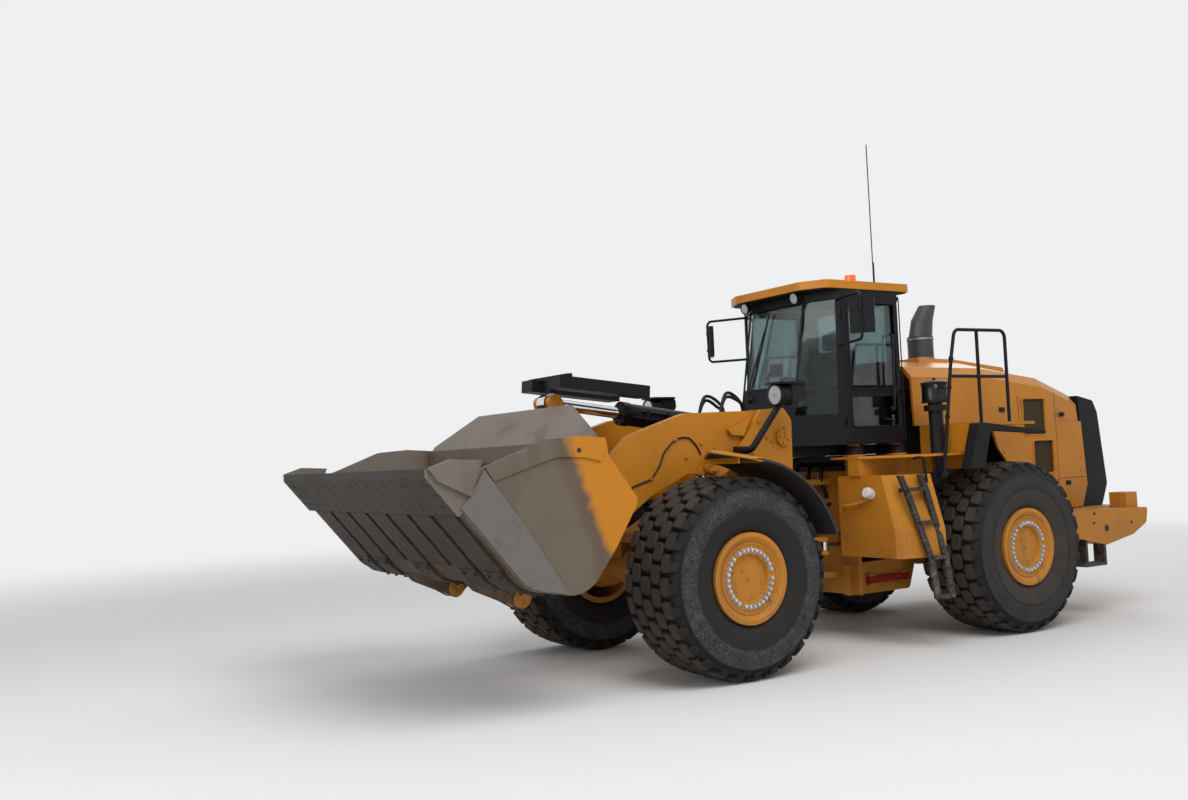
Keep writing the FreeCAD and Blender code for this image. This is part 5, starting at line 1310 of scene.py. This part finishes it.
def hoodFittings(side, label):
    out = Vector((0, side, 0))
    face = side * (hoodSettings["face"] + 1)
    frames, bolts, seams, rims = (bmesh.new() for _ in range(4))
    for x0, x1, z0, z1 in hoodSettings["intakes"]:
        corners = [spot(x, face, z) for x, z in ((x0 - 8, z0 - 8), (x1 + 8, z0 - 8), (x1 + 8, z1 + 8), (x0 - 8, z1 + 8))]
        addLoop(rims, corners, 0.03, 0.010)
        for x in (x0 - 30, x1 + 30):
            for z in (z0 + 40, z1 - 40):
                addBolt(bolts, spot(x, side * hoodSettings["face"], z), out, 0.009, 0.008)
    for x, z in hoodSettings["bolts"]:
        addBolt(bolts, spot(x, side * hoodSettings["face"], z), out, 0.011, 0.010)
    for x, z in hoodSettings["latches"]:
        addBlock(frames, spot(x - 45, face - side * 2, z - 28), spot(x + 45, face + side * 7, z + 28), 0.003)
        addTube(frames, roundedPath([spot(x - 30, face + side * 4, z), spot(x - 30, face + side * 26, z), spot(x + 30, face + side * 26, z),
                                     spot(x + 30, face + side * 4, z)], 0.01), 0.006, 8)
    for (xa, za), (xb, zb) in hoodSettings["seams"]:
        along = Vector((xb - xa, 0, zb - za)).normalized()
        wide = Vector((along.z, 0, -along.x)) * 0.003
        start, end = spot(xa, side * hoodSettings["face"], za), spot(xb, side * hoodSettings["face"], zb)
        addPlate(seams, [start - wide, end - wide, end + wide, start + wide], out * 0.0012, 0)
    makePiece(label + "_hood_frames", frames, "plastic", "hood_body")
    makePiece(label + "_intake_rims", rims, "cleanYellow", "hood_body")
    makePiece(label + "_hood_bolts", bolts, "yellow", "hood_body")
    makePiece(label + "_hood_seams", seams, "dark", "hood_body")
    rear, lamps, red = bmesh.new(), bmesh.new(), bmesh.new()
    addBlock(rear, spot(-4412, side * 1030, 1185), spot(-4398, side * 1210, 1340), 0.005)
    makePiece(label + "_tail_lamp_plate", rear, "plastic", "rear_frame_body")
    addTurned(red, [(0.0, 0.0), (0.0, 0.045), (0.016, 0.043), (0.024, 0.03), (0.026, 0.0)], spot(-4412, side * 1085, 1262), (-1, 0, 0), 28)
    makePiece(label + "_tail_lamp_red", red, "red", "rear_frame_body")
    addTurned(lamps, [(0.0, 0.0), (0.0, 0.034), (0.014, 0.032), (0.020, 0.02), (0.022, 0.0)], spot(-4412, side * 1165, 1262), (-1, 0, 0), 28)
    makePiece(label + "_tail_lamp_amber", lamps, "amber", "rear_frame_body")
    weight = bmesh.new()
    addTurned(weight, [(0.0, 0.0), (0.0, 0.040), (0.003, 0.040), (0.003, 0.0)], spot(-3619, side * 1330, 981), out, 24)
    for x, z in ((-3384, 1053), (-3400, 1160), (-4100, 1020)):
        addBolt(weight, spot(x, side * 1330, z), out, 0.012, 0.012)
    makePiece(label + "_weight_bolts", weight, "dark", "rear_frame_body")


bothSides(hoodFittings)


def deckGrip(side, label):
    # raised studs over the deck plate, the upper deck and the ladder's treads
    mesh = bmesh.new()
    studs = []
    for k in range(19):
        for j in range(14):
            x, y = -120 - k * 60, 830 + j * 45 + 22 * (k % 2)
            inside = y < 1400 and x > -1230 and y < 960 + (-90 - x) * 0.979 - 40
            if inside:
                studs.append((x, y, 1930))
    for k in range(15):
        for j in range(14):
            studs.append((-1290 - k * 62, 800 + j * 48 + 24 * (k % 2), 2235))
    for z, front, rear, y in ((1601, -182, -528, 1450), (1268, -275, -585, 1500), (920, -372, -646, 1550), (539, -375, -651, 1600)):
        for k in range(7):
            for row in (8, 34):
                studs.append((rear + 60 + k * (front - rear - 120) / 6, y + row, z))
    for x, y, z in studs:
        addTurned(mesh, [(-0.0005, 0.008), (0.003, 0.006), (0.003, 0.0)], spot(x, side * y, z), (0, 0, 1), 6)
    makePiece(label + "_step_studs", mesh, "muddy", "rear_frame_body")


bothSides(deckGrip)


def tankFittings(side, label):
    bolts = bmesh.new()
    for x, z in ((-303, 1861), (-303, 1773), (-560, 1820), (-820, 1861), (-820, 1773), (-1080, 1820)):
        addBolt(bolts, spot(x, side * 960, z), (0, side, 0), 0.012, 0.012)
    for y, z in ((720, 1100), (720, 1400), (1180, 1000), (1330, 1000), (1270, 1341), (1150, 1640)):
        addBolt(bolts, spot(-118, side * y, z), (1, 0, 0), 0.011, 0.011)
    makePiece(label + "_tank_bolts", bolts, "yellow", "rear_frame_body")
    bar = bmesh.new()
    addBlock(bar, spot(-1180, side * 512, 568), spot(-560, side * 548, 642), 0.008)
    addTurned(bar, [(0.0, 0.0), (0.0, 0.034), (0.012, 0.034), (0.012, 0.0)], spot(-600, side * 548, 605), (0, side, 0), 24)
    makePiece(label + "_lock_bar", bar, "redPaint", "rear_frame_body")
    holders = bmesh.new()
    for x in (-1120, -600):
        addBlock(holders, spot(x - 40, side * 499, 543), spot(x + 40, side * 560, 566), 0.004)
        addBlock(holders, spot(x - 40, side * 499, 644), spot(x + 40, side * 560, 667), 0.004)
    makePiece(label + "_lock_bar_holders", holders, "yellow", "rear_frame_body")


bothSides(tankFittings)


def filterCan():
    can, pipe = bmesh.new(), bmesh.new()
    axis = Vector((122, 0, 42)).normalized()
    start = spot(-128, 1085, 1540)
    addTurned(can, [(0.0, 0.0), (0.0, 0.052), (0.012, 0.055), (0.085, 0.055), (0.092, 0.050), (0.096, 0.0)], start, axis, 32)
    makePiece("filter_can", can, "white", "rear_frame_body")
    addTurned(pipe, [(-0.045, 0.0), (-0.045, 0.038), (0.0, 0.044), (0.002, 0.0)], start, axis, 24)
    addTube(pipe, roundedPath([start - axis * 0.02, spot(-150, 1040, 1500), spot(-60, 900, 1440), spot(-60, 720, 1420), spot(-300, 660, 1400)], 0.06),
            0.018, 12)
    makePiece("filter_pipe", pipe, "yellow", "rear_frame_body")


filterCan()


def topFittings():
    stack = bmesh.new()
    addTurned(stack, [(-0.016, 0.149), (-0.016, 0.158), (0.016, 0.158), (0.016, 0.149), (-0.016, 0.149)], spot(-2180, 0, 3050), (0, 0, 1), 36)
    addTurned(stack, [(-0.012, 0.149), (-0.012, 0.156), (0.012, 0.156), (0.012, 0.149), (-0.012, 0.149)], spot(-2180, 0, 3290), (0, 0, 1), 36)
    addBolt(stack, spot(-2180, 158, 3050), (0, 1, 0), 0.01, 0.02)
    makePiece("stack_bands", stack, "steel", "hood_body")
    # a near-black disc across the stack's mouth: soot, and painted shade of the hollow pipe
    sootAndShade = bmesh.new()
    ring = [spot(-2330 + 100 * math.cos(a), 80 * math.sin(a), 3700.2) for a in (2 * math.pi * k / 40 for k in range(40))]
    addPlate(sootAndShade, ring, Vector((0, 0, 0.001)), 0)
    makePiece("stack_mouth", sootAndShade, "seal", "hood_body")
    cleaner, bands = bmesh.new(), bmesh.new()
    foot = spot(-1110, 1110, 2480)
    addTurned(cleaner, [(0.0, 0.129), (0.01, 0.138), (0.165, 0.138), (0.18, 0.129)], foot, (0, 0, 1), 48)
    makePiece("precleaner_bowl", cleaner, "bowl", "rear_frame_body")
    addTurned(bands, [(-0.012, 0.129), (-0.012, 0.142), (0.006, 0.142), (0.006, 0.129)], foot, (0, 0, 1), 48)
    addTurned(bands, [(0.178, 0.129), (0.178, 0.142), (0.2, 0.142), (0.214, 0.12), (0.222, 0.07), (0.224, 0.0)], foot, (0, 0, 1), 48)
    addTurned(bands, [(0.222, 0.018), (0.25, 0.018), (0.254, 0.0)], foot, (0, 0, 1), 20)
    makePiece("precleaner_lid", bands, "plastic", "rear_frame_body")
    ribs = bmesh.new()
    for k in range(16):
        angle = 2 * math.pi * k / 16
        around = Vector((math.cos(angle), math.sin(angle), 0))
        addTube(ribs, [spot(-1080, 0, 3842) + around * 0.0615, spot(-1080, 0, 3996) + around * 0.0615], 0.003, 6)
    makePiece("beacon_ribs", ribs, "amber", "rear_frame_body")
    collar = bmesh.new()
    addTurned(collar, [(0.0, 0.072), (0.0, 0.078), (0.05, 0.076), (0.056, 0.066)], spot(-1080, 0, 3785), (0, 0, 1), 36)
    makePiece("beacon_collar", collar, "plastic", "rear_frame_body")


topFittings()
print("hood, deck and rear fittings made")


# ---- floor, backdrop and light ----
studio = {
    "floor": (0.72, 0.72, 0.72),
    "floorFade": (7.0, 22.0),
    "backdrop": (0.86, 0.87, 0.88),
    "roomLight": 0.50,
    "key": ((3.0, 7.0, 11.0), 9.0, 900.0),
    "fill": ((12.0, 2.0, 6.0), 7.0, 350.0),
    "back": ((-11.0, -6.0, 9.0), 8.0, 450.0),
}


def makeStudio():
    mesh = bmesh.new()
    bmesh.ops.create_grid(mesh, x_segments=2, y_segments=2, size=90.0)
    data = bpy.data.meshes.new("studio_floor")
    mesh.to_mesh(data)
    mesh.free()
    floor = bpy.data.objects.new("studio_floor", data)
    scene.collection.objects.link(floor)
    # far from the loader the floor takes the backdrop's own tone, so that no horizon shows
    finish = Finish("studio_floor", Base_Color=studio["floor"], Roughness=0.9)
    away = finish.node("ShaderNodeVectorMath", {"operation": "LENGTH"}, {0: finish.place()}, "Value")
    lightPath = {name: finish.node("ShaderNodeLightPath", {}, {}, name) for name in ("Is Camera Ray", "Is Glossy Ray", "Is Transmission Ray")}
    seen = (lightPath["Is Camera Ray"] + lightPath["Is Glossy Ray"] + lightPath["Is Transmission Ray"]).limited()
    fade = away.ramped(*studio["floorFade"]) * seen
    pale = finish.tree.nodes.new("ShaderNodeEmission")
    pale.inputs["Color"].default_value = (*studio["backdrop"], 1)
    both = finish.tree.nodes.new("ShaderNodeMixShader")
    finish.feed(both.inputs[0], fade)
    finish.tree.links.new(finish.shader.outputs[0], both.inputs[1])
    finish.tree.links.new(pale.outputs[0], both.inputs[2])
    finish.tree.links.new(both.outputs[0], finish.output.inputs["Surface"])
    data.materials.append(finish.material)
    world = bpy.data.worlds.new("studio")
    scene.world = world
    world.use_nodes = True
    tree = world.node_tree
    tree.nodes.clear()
    path = tree.nodes.new("ShaderNodeLightPath")
    seen = tree.nodes.new("ShaderNodeMath")
    seen.operation = "MAXIMUM"
    seenThrough = tree.nodes.new("ShaderNodeMath")
    seenThrough.operation = "MAXIMUM"
    tree.links.new(path.outputs["Is Camera Ray"], seen.inputs[0])
    tree.links.new(path.outputs["Is Glossy Ray"], seen.inputs[1])
    tree.links.new(seen.outputs[0], seenThrough.inputs[0])
    tree.links.new(path.outputs["Is Transmission Ray"], seenThrough.inputs[1])
    plain = tree.nodes.new("ShaderNodeBackground")
    plain.inputs["Color"].default_value = (1, 1, 1, 1)
    plain.inputs["Strength"].default_value = studio["roomLight"]
    shown = tree.nodes.new("ShaderNodeBackground")
    shown.inputs["Color"].default_value = (*studio["backdrop"], 1)
    shown.inputs["Strength"].default_value = 1.0
    mix = tree.nodes.new("ShaderNodeMixShader")
    output = tree.nodes.new("ShaderNodeOutputWorld")
    tree.links.new(seenThrough.outputs[0], mix.inputs[0])
    tree.links.new(plain.outputs[0], mix.inputs[1])
    tree.links.new(shown.outputs[0], mix.inputs[2])
    tree.links.new(mix.outputs[0], output.inputs["Surface"])
    for name in ("key", "fill", "back"):
        place, size, power = studio[name]
        light = bpy.data.lights.new(name, "AREA")
        light.shape = "DISK"
        light.size = size
        light.energy = power
        lamp = bpy.data.objects.new(name, light)
        lamp.location = place
        lamp.rotation_euler = (Vector((0, 0, 1.5)) - Vector(place)).to_track_quat("-Z", "Y").to_euler()
        scene.collection.objects.link(lamp)


makeStudio()
scene.view_settings.view_transform = "Standard"
print("studio ready")
